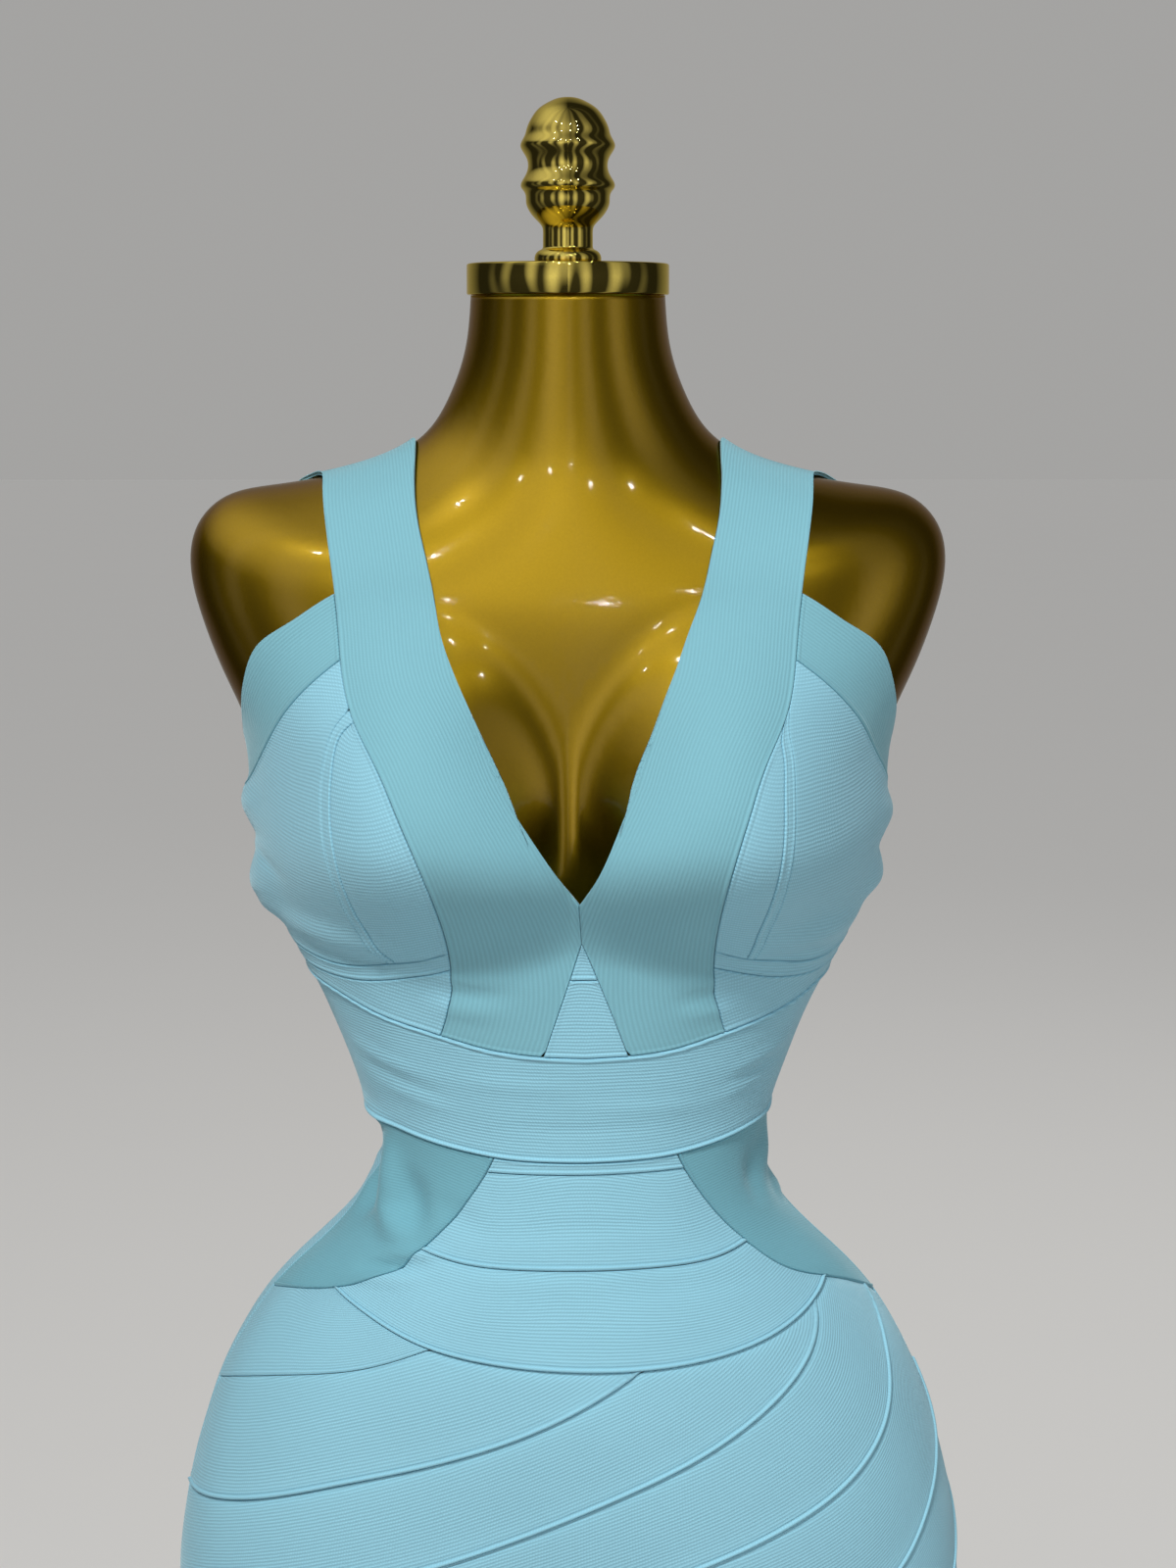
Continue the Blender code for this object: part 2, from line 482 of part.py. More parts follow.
def skirt():
    """Wrap bands that sweep from the right hip down to the left side, then the hem and back."""
    tops = (
        ("wrap_1", "ridge_1", [run("ridge", "ridge_1", "ridge_2")]),
        ("wrap_2", "ridge_2", [run("ridge", "ridge_2", "ridge_3")]),
        ("wrap_3", "ridge_3", [run("ridge", "ridge_3", "hip_b"), run("hip_seam", "hip_b", "hip_c")]),
        ("wrap_4", "hip_c", [run("hip_seam", "hip_c", "side_hip"),
                             run("right_seam", "side_hip", "right_5")]),
        ("wrap_5", "right_5", [run("right_seam", "right_5", "right_6")]),
        ("wrap_6", "right_6", [run("right_seam", "right_6", "right_7")]),
    )
    ends = ("ridge_2", "ridge_3", "hip_c", "right_5", "right_6", "right_7")
    for number, ((seam, start, joins), end) in enumerate(zip(tops, ends), start=1):
        left, low = f"left_{number}", f"left_{number + 1}"
        add_panel(f"wrap_band_{number}", outline(
            run(seam, left, start), *joins, run(f"wrap_{number + 1}", end, low),
            run("left_seam", low, left),
        ), SKIRT_STEP)
    add_panel("wrap_band_7", outline(
        run("wrap_7", "left_7", "right_7"), run("right_seam", "right_7", "right_band"),
        run("hem_seam", "right_band", "left_band"), run("left_seam", "left_band", "left_7"),
    ), SKIRT_STEP)
    add_panel("hem_band_front", outline(
        run("hem_seam", "left_band", "right_band"), run("right_seam", "right_band", "right_hem"),
        run("hem_edge", "right_hem", "left_hem"), run("left_seam", "left_hem", "left_band"),
    ), SKIRT_STEP)
    back_top = run("waist_seam", "side_waist", "waist_back")
    back_seam = run("back_seam", "waist_back", "back_band")
    back_foot = run("hem_seam", "back_band", "right_band")
    add_panel("back_skirt_right", outline(
        back_top, back_seam, back_foot, run("right_seam", "right_band", "side_waist"),
    ), SKIRT_STEP)
    add_panel("back_skirt_left", outline(
        mirrored(back_top), mirrored(back_seam), mirrored(back_foot),
        run("left_seam", "left_band", "-side_waist"),
    ), SKIRT_STEP)
    add_pair("hem_band_back", outline(
        run("hem_seam", "right_band", "back_band"), run("back_seam", "back_band", "back_hem"),
        run("hem_edge", "back_hem", "right_hem"), run("right_seam", "right_hem", "right_band"),
    ), SKIRT_STEP)


def form_torso():
    """The solid body of the form, closed at the neck and under the hips. Returns its foot."""
    turns = np.linspace(0, 360, FORM_SIDES, endpoint=False)
    drops = np.linspace(0, FORM_BOTTOM_DROP, FORM_RINGS)
    turn, drop = np.meshgrid((turns + 180) % 360 - 180, drops)
    inset = FORM_IN + FORM_IN_CHEST * ease(drop, 150, 350) + FORM_IN_HIPS * ease(drop, 690, 860)
    inset = inset + FORM_IN_WAIST * (ease(drop, 580, 670) - ease(drop, 730, 820))
    points = figure(turn, drop, False) - figure_normal(turn, drop, False) * inset[..., None]
    points[0, :, 2] = FIGURE[0][1]
    foot = points[-1] * (0.965, 0.965, 1) - (0, 0, 5 * MM)
    points = np.concatenate([points, foot[None]]).reshape(-1, 3)
    faces = []
    for ring in range(FORM_RINGS):
        for k in range(FORM_SIDES):
            after = (k + 1) % FORM_SIDES
            a, b = ring * FORM_SIDES, (ring + 1) * FORM_SIDES
            faces.append((a + k, a + after, b + after, b + k))
    faces.append(tuple(range(FORM_SIDES)))
    faces.append(tuple(range(FORM_RINGS * FORM_SIDES, (FORM_RINGS + 1) * FORM_SIDES))[::-1])
    add_mesh("form_torso", points, faces)
    return foot[0][2]


def turned(name, profile, seat):
    """A solid turned round the axis from a profile of radius and height in mm."""
    angles = np.linspace(0, 2 * math.pi, LATHE_SIDES, endpoint=False)
    points = []
    for radius, height in profile:
        for angle in angles:
            points.append((radius * MM * math.sin(angle), -radius * MM * math.cos(angle),
                           seat + height * MM))
    faces = []
    for ring in range(len(profile) - 1):
        for k in range(LATHE_SIDES):
            after = (k + 1) % LATHE_SIDES
            a, b = ring * LATHE_SIDES, (ring + 1) * LATHE_SIDES
            faces.append((a + k, a + after, b + after, b + k))
    faces.append(tuple(range(LATHE_SIDES))[::-1])
    faces.append(tuple(range((len(profile) - 1) * LATHE_SIDES, len(profile) * LATHE_SIDES)))
    add_mesh(name, points, faces)


def stand(form_foot):
    neck_top = FIGURE[0][1]
    cap_seat = neck_top + SEAT_GAP
    turned("neck_cap", CAP_PROFILE, cap_seat)
    turned("finial", FINIAL_PROFILE, cap_seat + CAP_PROFILE[-1][1] * MM + SEAT_GAP)
    turned("base", BASE_PROFILE, 0.0)
    base_top = BASE_PROFILE[-1][1]
    rise = (form_foot - SEAT_GAP) / MM - (base_top + SEAT_GAP / MM)
    profile = POLE_FOOT + tuple((radius, rise - height) for radius, height in POLE_HEAD)
    turned("pole", profile, base_top * MM + SEAT_GAP)


for old in list(bpy.data.objects):
    bpy.data.objects.remove(old, do_unlink=True)
bodice()
waist()
skirt()
stand(form_torso())
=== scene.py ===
"""Looks of the bodycon dress on its dress form.

Each CAD piece of the dress is replaced by a thin fine shell in the same place. The figure's rings
and the seams are the CAD's, apart from the V's edges, which differ a little from side to side. A
place is (turn, drop): degrees round from centre front towards +X, and millimetres down the figure
from the top of the neck. Right in a name is the +X side.
"""
import math

import bpy
import numpy as np
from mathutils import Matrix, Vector

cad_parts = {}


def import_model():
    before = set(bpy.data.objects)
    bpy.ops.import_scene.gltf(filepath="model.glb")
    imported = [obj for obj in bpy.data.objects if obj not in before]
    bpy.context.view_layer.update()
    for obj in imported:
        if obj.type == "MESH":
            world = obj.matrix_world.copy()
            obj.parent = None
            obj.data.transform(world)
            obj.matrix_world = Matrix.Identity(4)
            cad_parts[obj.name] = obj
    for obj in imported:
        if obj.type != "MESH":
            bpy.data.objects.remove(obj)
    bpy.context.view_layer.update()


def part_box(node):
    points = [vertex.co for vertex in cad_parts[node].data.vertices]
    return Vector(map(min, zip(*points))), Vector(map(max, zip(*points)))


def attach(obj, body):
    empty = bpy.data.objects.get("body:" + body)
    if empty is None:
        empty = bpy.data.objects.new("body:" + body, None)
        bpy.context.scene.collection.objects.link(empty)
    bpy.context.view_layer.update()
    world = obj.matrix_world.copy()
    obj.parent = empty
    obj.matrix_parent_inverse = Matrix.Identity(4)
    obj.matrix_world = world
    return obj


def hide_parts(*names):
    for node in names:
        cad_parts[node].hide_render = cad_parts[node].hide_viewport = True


MM = 0.001

# Cloth and clearances, as in the CAD
CLOTH_OUT = 1.3 * MM
CLOTH_IN = -0.2 * MM
FORM_IN = 1.2 * MM
FORM_IN_CHEST = 0.7 * MM
FORM_IN_HIPS = 2.5 * MM
FORM_IN_WAIST = 8.0 * MM
MM_PER_DEGREE = 2.3
SEAM_STEP = 2.5

# Rings of the figure: name, height at the side, front and back, half width, depth ahead of and
# behind the body's axis, and the power of the rounded section (2 is an ellipse). In metres.
FIGURE = (
    ("neck_top", 1.432, 1.432, 1.432, 0.0495, 0.0495, 0.0495, 2.00),
    ("neck", 1.408, 1.404, 1.408, 0.0520, 0.0515, 0.0530, 2.00),
    ("neck_low", 1.384, 1.374, 1.388, 0.0600, 0.0545, 0.0600, 2.00),
    ("neck_root", 1.3655, 1.350, 1.370, 0.0720, 0.0590, 0.0680, 2.00),
    ("collar", 1.353, 1.330, 1.353, 0.0920, 0.0650, 0.0770, 2.05),
    ("shoulder_in", 1.3445, 1.312, 1.337, 0.1200, 0.0710, 0.0850, 2.15),
    ("shoulder", 1.340, 1.297, 1.322, 0.1480, 0.0760, 0.0900, 2.25),
    ("cap_top", 1.334, 1.284, 1.306, 0.1730, 0.0800, 0.0935, 2.35),
    ("cap_edge", 1.320, 1.272, 1.290, 0.1870, 0.0830, 0.0955, 2.40),
    ("cap_out", 1.302, 1.259, 1.272, 0.1910, 0.0855, 0.0970, 2.40),
    ("cap_low", 1.275, 1.240, 1.248, 0.1860, 0.0880, 0.0985, 2.40),
    ("arm_low", 1.245, 1.220, 1.225, 0.1750, 0.0900, 0.0990, 2.35),
    ("armpit", 1.215, 1.200, 1.200, 0.1630, 0.0915, 0.0985, 2.30),
    ("bust", 1.175, 1.170, 1.170, 0.1600, 0.0920, 0.0960, 2.25),
    ("under_bust", 1.130, 1.128, 1.128, 0.1500, 0.0920, 0.0900, 2.20),
    ("ribs", 1.090, 1.090, 1.090, 0.1290, 0.0895, 0.0820, 2.15),
    ("ribs_low", 1.050, 1.050, 1.050, 0.1120, 0.0860, 0.0750, 2.10),
    ("waist", 1.005, 1.005, 1.005, 0.1005, 0.0820, 0.0700, 2.10),
    ("waist_low", 0.975, 0.975, 0.975, 0.1060, 0.0860, 0.0750, 2.10),
    ("hip_top", 0.935, 0.935, 0.935, 0.1430, 0.0960, 0.0930, 2.10),
    ("hip_high", 0.890, 0.890, 0.890, 0.1750, 0.1040, 0.1160, 2.15),
    ("hip", 0.840, 0.840, 0.840, 0.1930, 0.1070, 0.1350, 2.20),
    ("seat", 0.785, 0.785, 0.785, 0.2030, 0.1060, 0.1420, 2.25),
    ("seat_low", 0.735, 0.735, 0.735, 0.2040, 0.1030, 0.1360, 2.25),
    ("thigh", 0.680, 0.680, 0.680, 0.1970, 0.0990, 0.1200, 2.20),
    ("thigh_low", 0.620, 0.620, 0.620, 0.1850, 0.0950, 0.1080, 2.15),
    ("knee_high", 0.560, 0.560, 0.560, 0.1740, 0.0920, 0.1000, 2.10),
    ("hem", 0.500, 0.500, 0.500, 0.1660, 0.0900, 0.0950, 2.10),
)
BUST_X = 0.082
BUST_Z = 1.176
BUST_WIDE = 0.088
BUST_UP = 0.115
BUST_DOWN = 0.072
BUST_OUT = 0.052
FORM_BUST_OUT = 0.0475
VALLEY_FILL = 0.45

# The dress hangs turned a little round the figure, more towards the hips.
LEAN_DEGREES = 5.5
LEAN_FROM, LEAN_TO = 300.0, 750.0

# Junctions of the seams (turn, drop). One side of the bodice and hips; the other is its mirror.
SPOTS = {
    "v_foot": (0, 479), "gusset_tip": (0, 511), "gusset_step": (2.8, 541), "gusset_foot": (10, 600),
    "strap_in": (90, 118), "strap_out": (90, 180), "neck_back": (180, 272), "yoke_back": (180, 346),
    "arm_top": (35, 257), "arm_foot": (33, 303), "cup_foot": (25.5, 518),
    "tape_foot": (26.4, 534), "band_foot": (34, 587),
    "dart_top_in": (32.9, 347), "dart_top_out": (33.1, 338),
    "dart_foot_in": (33.2, 527.5), "dart_foot_out": (35, 529),
    "left_dart_foot_in": (38.2, 531.5), "left_dart_foot_out": (40, 532.6),
    "arm_back": (134, 297), "arm_back_foot": (153, 336),
    "arm_under": (90, 396), "side_arm": (90, 428), "side_cup": (90, 528), "side_tape": (90, 541),
    "side_band": (90, 553), "side_waist": (90, 661),
    "band_back": (180, 560), "waist_back": (180, 668), "waist_mid": (0, 679),
    "hip_start": (26, 677), "strip_end": (28.5, 688), "hip_a": (44.2, 750), "hip_b": (61.3, 794),
    "hip_c": (80, 819), "side_hip": (90, 832),
    "left_hip": (90, 818),
    "ridge_1": (-31, 826), "ridge_2": (7, 839.5), "ridge_3": (51, 804.5),
    "left_1": (-90, 893), "left_2": (-90, 975), "left_3": (-90, 1062), "left_4": (-90, 1140),
    "left_5": (-90, 1204), "left_6": (-90, 1262), "left_7": (-90, 1322),
    "right_5": (90, 893), "right_6": (90, 985), "right_7": (90, 1095),
    "left_band": (-90, 1391), "right_band": (90, 1391), "back_band": (180, 1391),
    "left_hem": (-90, 1427), "right_hem": (90, 1427), "back_hem": (180, 1427),
}

# Seams: junctions and the rounded places between them that give each line its sweep.
SEAMS = {
    "neck_edge": ("v_foot", (3.6, 456), (7.1, 427), (9.8, 401), (11.5, 384), (12.7, 360),
                  (14.2, 327), (15.4, 296), (17.8, 262), (19.3, 250), (29, 198), (51, 145),
                  "strap_in", (118, 146), (143, 200), (163, 252), "neck_back"),
    "left_neck_edge": ("v_foot", (3.8, 455), (8.4, 422), (11.4, 398), (12.9, 380), (14.5, 349),
                       (16.2, 308), (18.4, 268), (19.7, 251), (29, 198), (51, 145), "strap_in",
                       (118, 146), (143, 200), (163, 252), "neck_back"),
    "neck_seam": ("band_foot", (28.5, 557), "tape_foot", "cup_foot", (24.9, 482), (27, 440),
                  (30, 405), (32, 367), "dart_top_in", "dart_top_out", "arm_foot", "arm_top",
                  (43, 224), "strap_out",
                  (113, 206), (128, 250), "arm_back", (143, 318), "arm_back_foot", (168, 343),
                  "yoke_back"),
    "centre": ("v_foot", "gusset_tip"),
    "gusset_side": ("gusset_tip", "gusset_step", "gusset_foot"),
    "dart_in": ("dart_top_in", (33.0, 358), (34.6, 375), (35.9, 402), (36.0, 426), (35.4, 448),
                (34.5, 471), (33.6, 501), "dart_foot_in"),
    "dart_out": ("dart_top_out", (34.3, 357), (36.4, 375), (38.1, 402), (38.3, 427), (37.7, 449),
                 (36.9, 473), (36.0, 503), "dart_foot_out"),
    "left_dart_in": ("dart_top_in", (35.9, 358), (38.6, 373), (42.0, 402), (42.8, 426),
                     (42.4, 448), (42.0, 471), (41.1, 502), "left_dart_foot_in"),
    "left_dart_out": ("dart_top_out", (37.4, 357), (40.4, 373), (44.4, 402), (45.3, 427),
                      (44.9, 449), (44.4, 473), (43.3, 504), "left_dart_foot_out"),
    "arm_edge": ("arm_top", (41.5, 286), (48.5, 308), (56.5, 338), (69, 372), "arm_under",
                 (110, 378), (125, 338), "arm_back"),
    "arm_seam": ("arm_foot", (43.8, 343), (55.5, 377), (70, 408), "side_arm", (112, 418),
                 (132, 382), "arm_back_foot"),
    "cup_seam": ("cup_foot", "dart_foot_in", "dart_foot_out", "left_dart_foot_in",
                 "left_dart_foot_out", (47, 537), (57, 539), (73, 534), "side_cup"),
    "tape_seam": ("tape_foot", (40.5, 546), (51, 550), (67, 549), "side_tape"),
    "band_top": ("gusset_foot", (22, 596), "band_foot", (51, 575), (65, 562), "side_band",
                 (130, 553), "band_back"),
    "band_top_mid": ("gusset_foot", (0, 601)),
    "waist_seam": ("waist_mid", "hip_start", (45, 671), (62, 666), "side_waist", (130, 662),
                   "waist_back"),
    "strip_seam": ((0, 688), "strip_end"),
    "hip_seam": ("hip_start", "strip_end", (35.3, 713), "hip_a", (50.4, 777), "hip_b", "hip_c",
                 "side_hip"),
    "left_hip_seam": ("hip_start", "strip_end", (35.3, 713), "hip_a", (50.4, 776), "hip_b",
                      (75, 806), "left_hip"),
    "belly_seam": ((0, 758), (14.4, 758), (32.6, 756), "hip_a"),
    "back_seam": ("yoke_back", "band_back", "waist_back", "back_band", "back_hem"),
    "neck_back_seam": ("neck_back", "yoke_back"),
    "side_seam": ("side_arm", "side_cup", "side_tape", "side_band", "side_waist"),
    "ridge": ("-hip_b", (-47.5, 807), "ridge_1", (-16, 836), "ridge_2", (19, 835), (33, 824),
              "ridge_3", "hip_b"),
    "wrap_1": ("left_1", (-73, 876), (-57, 861), (-42, 846), "ridge_1"),
    "wrap_2": ("left_2", (-74, 969), (-57, 955), (-40, 931), (-18, 898), (-2, 864), "ridge_2"),
    "wrap_3": ("left_3", (-60, 1037), (-24, 985), (-3, 943), (16, 903), (33, 861), (44, 830),
               "ridge_3"),
    "wrap_4": ("left_4", (-62, 1110), (-24, 1050), (14, 986), (38, 941), (52, 904), (63, 863),
               (73, 833), "hip_c"),
    "wrap_5": ("left_5", (-62, 1174), (-25, 1122), (10, 1075), (48, 1010), (60, 973), (75, 936),
               "right_5"),
    "wrap_6": ("left_6", (-60, 1232), (-22, 1183), (14, 1137), (50, 1079), (72, 1030), "right_6"),
    "wrap_7": ("left_7", (-60, 1298), (-20, 1252), (20, 1203), (54, 1158), (75, 1123), "right_7"),
    "left_seam": ("-side_waist", "-left_hip", "left_1", "left_2", "left_3", "left_4", "left_5",
                  "left_6", "left_7", "left_band", "left_hem"),
    "right_seam": ("side_waist", "side_hip", "right_5", "right_6", "right_7", "right_band",
                   "right_hem"),
    "hem_seam": ("left_band", (0, 1391), "right_band", "back_band"),
    "hem_edge": ("left_hem", (0, 1427), "right_hem", "back_hem"),
}


def natural_bend(t, y):
    """Second derivatives of the natural cubic spline through the rows of y at places t."""
    n = len(t)
    h = np.diff(t)
    a = np.eye(n)
    r = np.zeros_like(y)
    for i in range(1, n - 1):
        a[i, i - 1:i + 2] = h[i - 1], 2 * (h[i - 1] + h[i]), h[i]
        r[i] = 6 * ((y[i + 1] - y[i]) / h[i] - (y[i] - y[i - 1]) / h[i - 1])
    return np.linalg.solve(a, r)


def spline(t, y, bend, at):
    """Rows of the natural cubic spline at the places given."""
    at = np.clip(np.asarray(at, float), t[0], t[-1])
    i = np.clip(np.searchsorted(t, at, side="right") - 1, 0, len(t) - 2)
    h = (t[i + 1] - t[i])[..., None]
    u = (t[i + 1] - at)[..., None] / h
    v = 1 - u
    return u * y[i] + v * y[i + 1] + ((u**3 - u) * bend[i] + (v**3 - v) * bend[i + 1]) * h * h / 6


RINGS = np.array([row[1:] for row in FIGURE])
RING_STEPS = np.linalg.norm(np.diff(RINGS[:, [0, 1, 3, 4]], axis=0), axis=1)
RING_DROPS = np.concatenate([[0], np.cumsum(RING_STEPS)]) / MM
RING_BEND = natural_bend(RING_DROPS, RINGS)


def ease(x, low, high):
    t = np.clip((x - low) / (high - low), 0, 1)
    return t * t * (3 - 2 * t)


def figure(turn, drop, dressed):
    """Point of the figure. Dressed, the valley is filled where cloth spans it."""
    turn, drop = np.broadcast_arrays(np.asarray(turn, float), np.asarray(drop, float))
    ring = spline(RING_DROPS, RINGS, RING_BEND, drop)
    side, front, back, wide, ahead, behind, square = np.moveaxis(ring, -1, 0)
    sine, cosine = np.sin(np.radians(turn)), np.cos(np.radians(turn))
    reach = (np.abs(sine) ** square + np.abs(cosine) ** square) ** (-1 / square)
    x = wide * sine * reach
    y = -np.where(cosine > 0, ahead, behind) * cosine * reach
    z = side + (np.where(cosine > 0, front, back) - side) * cosine**2
    fill = VALLEY_FILL * (1 - ease(z, 1.150, 1.235)) if dressed else 0.0
    across = np.abs(np.abs(x) - BUST_X) / BUST_WIDE
    across = np.where(np.abs(x) < BUST_X, across * (1 - fill), across)
    along = (z - BUST_Z) / np.where(z > BUST_Z, BUST_UP, BUST_DOWN)
    mound = np.clip(1 - across**2 - along**2, 0, 1) ** 2 * ease(cosine, -0.15, 0.35)
    out = BUST_OUT if dressed else FORM_BUST_OUT
    return np.stack([x, y - out * mound, z], axis=-1)


def figure_normal(turn, drop, dressed):
    step = 0.05
    along = figure(turn + step, drop, dressed) - figure(turn - step, drop, dressed)
    down = figure(turn, drop + step * 4, dressed) - figure(turn, drop - step * 4, dressed)
    normal = np.cross(down, along)
    return normal / np.linalg.norm(normal, axis=-1, keepdims=True)


def worn(turn, drop):
    """The turn at which a place of the dress really lies, as the dress leans round."""
    return turn + LEAN_DEGREES * ease(drop, LEAN_FROM, LEAN_TO)


def spot(name):
    if not isinstance(name, str):
        return name
    if name.startswith("-"):
        turn, drop = SPOTS[name[1:]]
        return -turn, drop
    return SPOTS[name]



# ---- seams and places

def sampled_seam(points):
    """The seam as close (turn, drop) samples, with the sample number of each of its points."""
    flat = np.array([spot(p) for p in points], float) * (MM_PER_DEGREE, 1)
    chords = np.linalg.norm(np.diff(flat, axis=0), axis=1)
    t = np.concatenate([[0], np.cumsum(chords)])
    bend = natural_bend(t, flat)
    samples, marks = [flat[0]], [0]
    for i, chord in enumerate(chords):
        parts = max(1, round(chord / SEAM_STEP))
        for k in range(1, parts + 1):
            samples.append(spline(t, flat, bend, t[i] + chord * k / parts))
        marks.append(len(samples) - 1)
    return np.array(samples) / (MM_PER_DEGREE, 1), {str(p): m for p, m in zip(points, marks)}


SAMPLED = {name: sampled_seam(points) for name, points in SEAMS.items()}


def run(seam, start, end):
    """The samples of a seam from one of its points to another, in that order."""
    samples, marks = SAMPLED[seam]
    first, last = marks[str(start)], marks[str(end)]
    return samples[first:last + 1] if first <= last else samples[last:first + 1][::-1]


def mirrored(line):
    return np.asarray(line) * (-1, 1)


def joined(*runs):
    return np.concatenate([np.atleast_2d(line) for line in runs])


# ---- creases

def hump(x, middle, half):
    """1 at the middle, 0 at half a width away, smooth."""
    t = np.clip(1 - ((x - middle) / half) ** 2, 0, 1)
    return t * t


# Soft folds: middle (turn, drop), half lengths along and across in degrees and mm,
# slope of the fold in mm of drop per degree, height in mm (below zero for a trough), and how many
# degrees an upright fold swings for each mm of drop.
FOLDS = (
    (-92, 438, 26, 19, -0.35, 4.8, 0), (-90, 459, 30, 7, -0.30, -1.4, 0),
    (-94, 494, 30, 27, -0.25, 8.4, 0), (-90, 512, 20, 14, -0.2, 3.0, 0),
    (-70, 470, 12, 9, 0.8, -1.2, 0), (92, 446, 26, 20, 0.30, 4.6, 0),
    (90, 468, 28, 8, 0.25, -1.4, 0), (93, 492, 27, 22, 0.30, 6.4, 0),
    (-112, 470, 18, 16, 0.5, 2.0, 0), (112, 466, 18, 16, -0.5, 2.0, 0),
    (-92, 690, 26, 38, 0, -8.5, 0), (-79, 724, 10, 26, 0, -6.0, 0),
    (-66, 708, 9, 40, 0, 5.5, 0.03), (-58, 738, 9, 18, 0, 4.5, 0.3),
    (-53, 716, 8, 26, 0, -4.0, 0.1), (-74, 662, 16, 10, 0.4, 2.5, 0),
    (-50, 767, 13, 6, -0.5, -3.0, 0), (-50, 779, 14, 8, -0.4, 2.2, 0),
    (-47, 755, 12, 7, -0.5, 2.2, 0), (-36, 722, 9, 18, 0, -1.5, 0.3),
    (74, 690, 8, 30, 0, 3.0, -0.02), (84, 730, 8, 16, 0, 2.6, 0),
    (60, 706, 8, 28, 0, -3.0, 0), (88, 676, 20, 26, 0, -3.5, 0),
    (-52, 516, 30, 15, 0.1, 3.0, 0), (52, 516, 30, 15, -0.1, 3.0, 0),
    (-26, 541, 13, 8, 0.2, 1.5, 0), (-23, 552, 12, 5.5, 0.3, -1.4, 0),
    (-27, 566, 12, 10, 0.3, 1.6, 0), (26, 545, 11, 8, 0, 1.2, 0),
    (27, 557, 11, 6, -0.4, -1.3, 0), (29, 569, 10, 9, -0.3, 1.4, 0),
    (-56, 612, 20, 7, 0.5, 1.6, 0), (-54, 625, 22, 6, 0.55, -1.3, 0),
    (-50, 637, 20, 6, 0.4, 1.2, 0), (52, 610, 16, 7, -0.6, 1.4, 0),
    (50, 622, 18, 6, -0.6, -1.3, 0), (46, 633, 16, 6, -0.4, 1.0, 0),
    (-20, 622, 24, 7, 0.1, 0.7, 0), (18, 640, 30, 6, 0.1, 0.7, 0),
    (0, 655, 34, 5, 0.0, -0.6, 0), (0, 724, 30, 6, 0.0, -0.7, 0),
    (-16, 742, 26, 6, -0.1, 0.9, 0), (20, 776, 34, 7, 0.1, -0.7, 0),
    (-14, 770, 30, 7, 0.1, 0.7, 0), (-118, 640, 30, 8, 0.1, -1.4, 0),
    (-120, 690, 34, 8, -0.2, 2.8, 0), (-122, 716, 30, 8, -0.1, 2.0, 0),
    (122, 642, 30, 8, -0.1, -1.4, 0), (124, 690, 30, 8, 0.2, 2.6, 0),
    (126, 714, 28, 8, 0.2, 2.0, 0), (168, 640, 40, 9, 0.1, -1.4, 0),
    (-168, 610, 30, 8, 0.1, 1.8, 0), (175, 690, 44, 10, 0, 3.0, 0),
    (178, 722, 40, 10, 0.0, 2.2, 0), (150, 1060, 26, 9, 0.7, 1.8, 0),
    (-150, 1066, 26, 9, -0.7, 1.8, 0), (-60, 1110, 40, 9, 0.4, -0.8, 0),
    (60, 1180, 36, 9, -0.4, -0.8, 0), (-20, 1290, 50, 10, 0.3, -0.9, 0),
    (30, 1350, 44, 9, -0.2, -0.8, 0),
)


# A faint ripple all over, in mm, and how far off the form the folds always stay
RIPPLE = 0.25
CLEAR_OF_FORM = 0.35 * MM


def folds(turn, drop):
    """Height in metres of the cloth's folds over the figure, never so low as to reach the form."""
    height = np.zeros(np.broadcast(turn, drop).shape)
    for middle, level, long, wide, slope, high, swing in FOLDS:
        away = (turn - middle + 180) % 360 - 180
        height += (high * hump(away - swing * (drop - level), 0, long)
                   * hump(drop - slope * away, level, wide))
    ripple = np.sin(turn * 0.21 + drop * 0.035) * np.sin(drop * 0.052 - turn * 0.08 + 1.0)
    height += RIPPLE * ripple
    at = worn(turn, drop)
    apart = figure(at, drop, True) - figure(at, drop, False)
    gap = (apart * figure_normal(at, drop, True)).sum(axis=-1) + form_inset(drop)
    return np.maximum(height * MM, CLEAR_OF_FORM - gap)


def form_inset(drop):
    """How far the form lies inside the figure, in metres, at each height."""
    inset = FORM_IN + FORM_IN_CHEST * ease(drop, 150, 350) + FORM_IN_HIPS * ease(drop, 690, 860)
    return inset + FORM_IN_WAIST * (ease(drop, 580, 670) - ease(drop, 730, 820))


def cloth_place(turn, drop, height):
    turn = worn(turn, drop)
    base = figure(turn, drop, True)
    normal = figure_normal(turn, drop, True)
    return base + normal * np.asarray(height)[..., None]


# ---- meshes

def add_object(name, points, faces, material):
    mesh = bpy.data.meshes.new(name)
    mesh.from_pydata(np.asarray(points, float).tolist(), [], faces)
    mesh.polygons.foreach_set("use_smooth", [True] * len(mesh.polygons))
    mesh.materials.append(material)
    piece = bpy.data.objects.new(name, mesh)
    bpy.context.scene.collection.objects.link(piece)
    return piece


def stand_for(piece, node):
    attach(piece, "root")
    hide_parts(node)


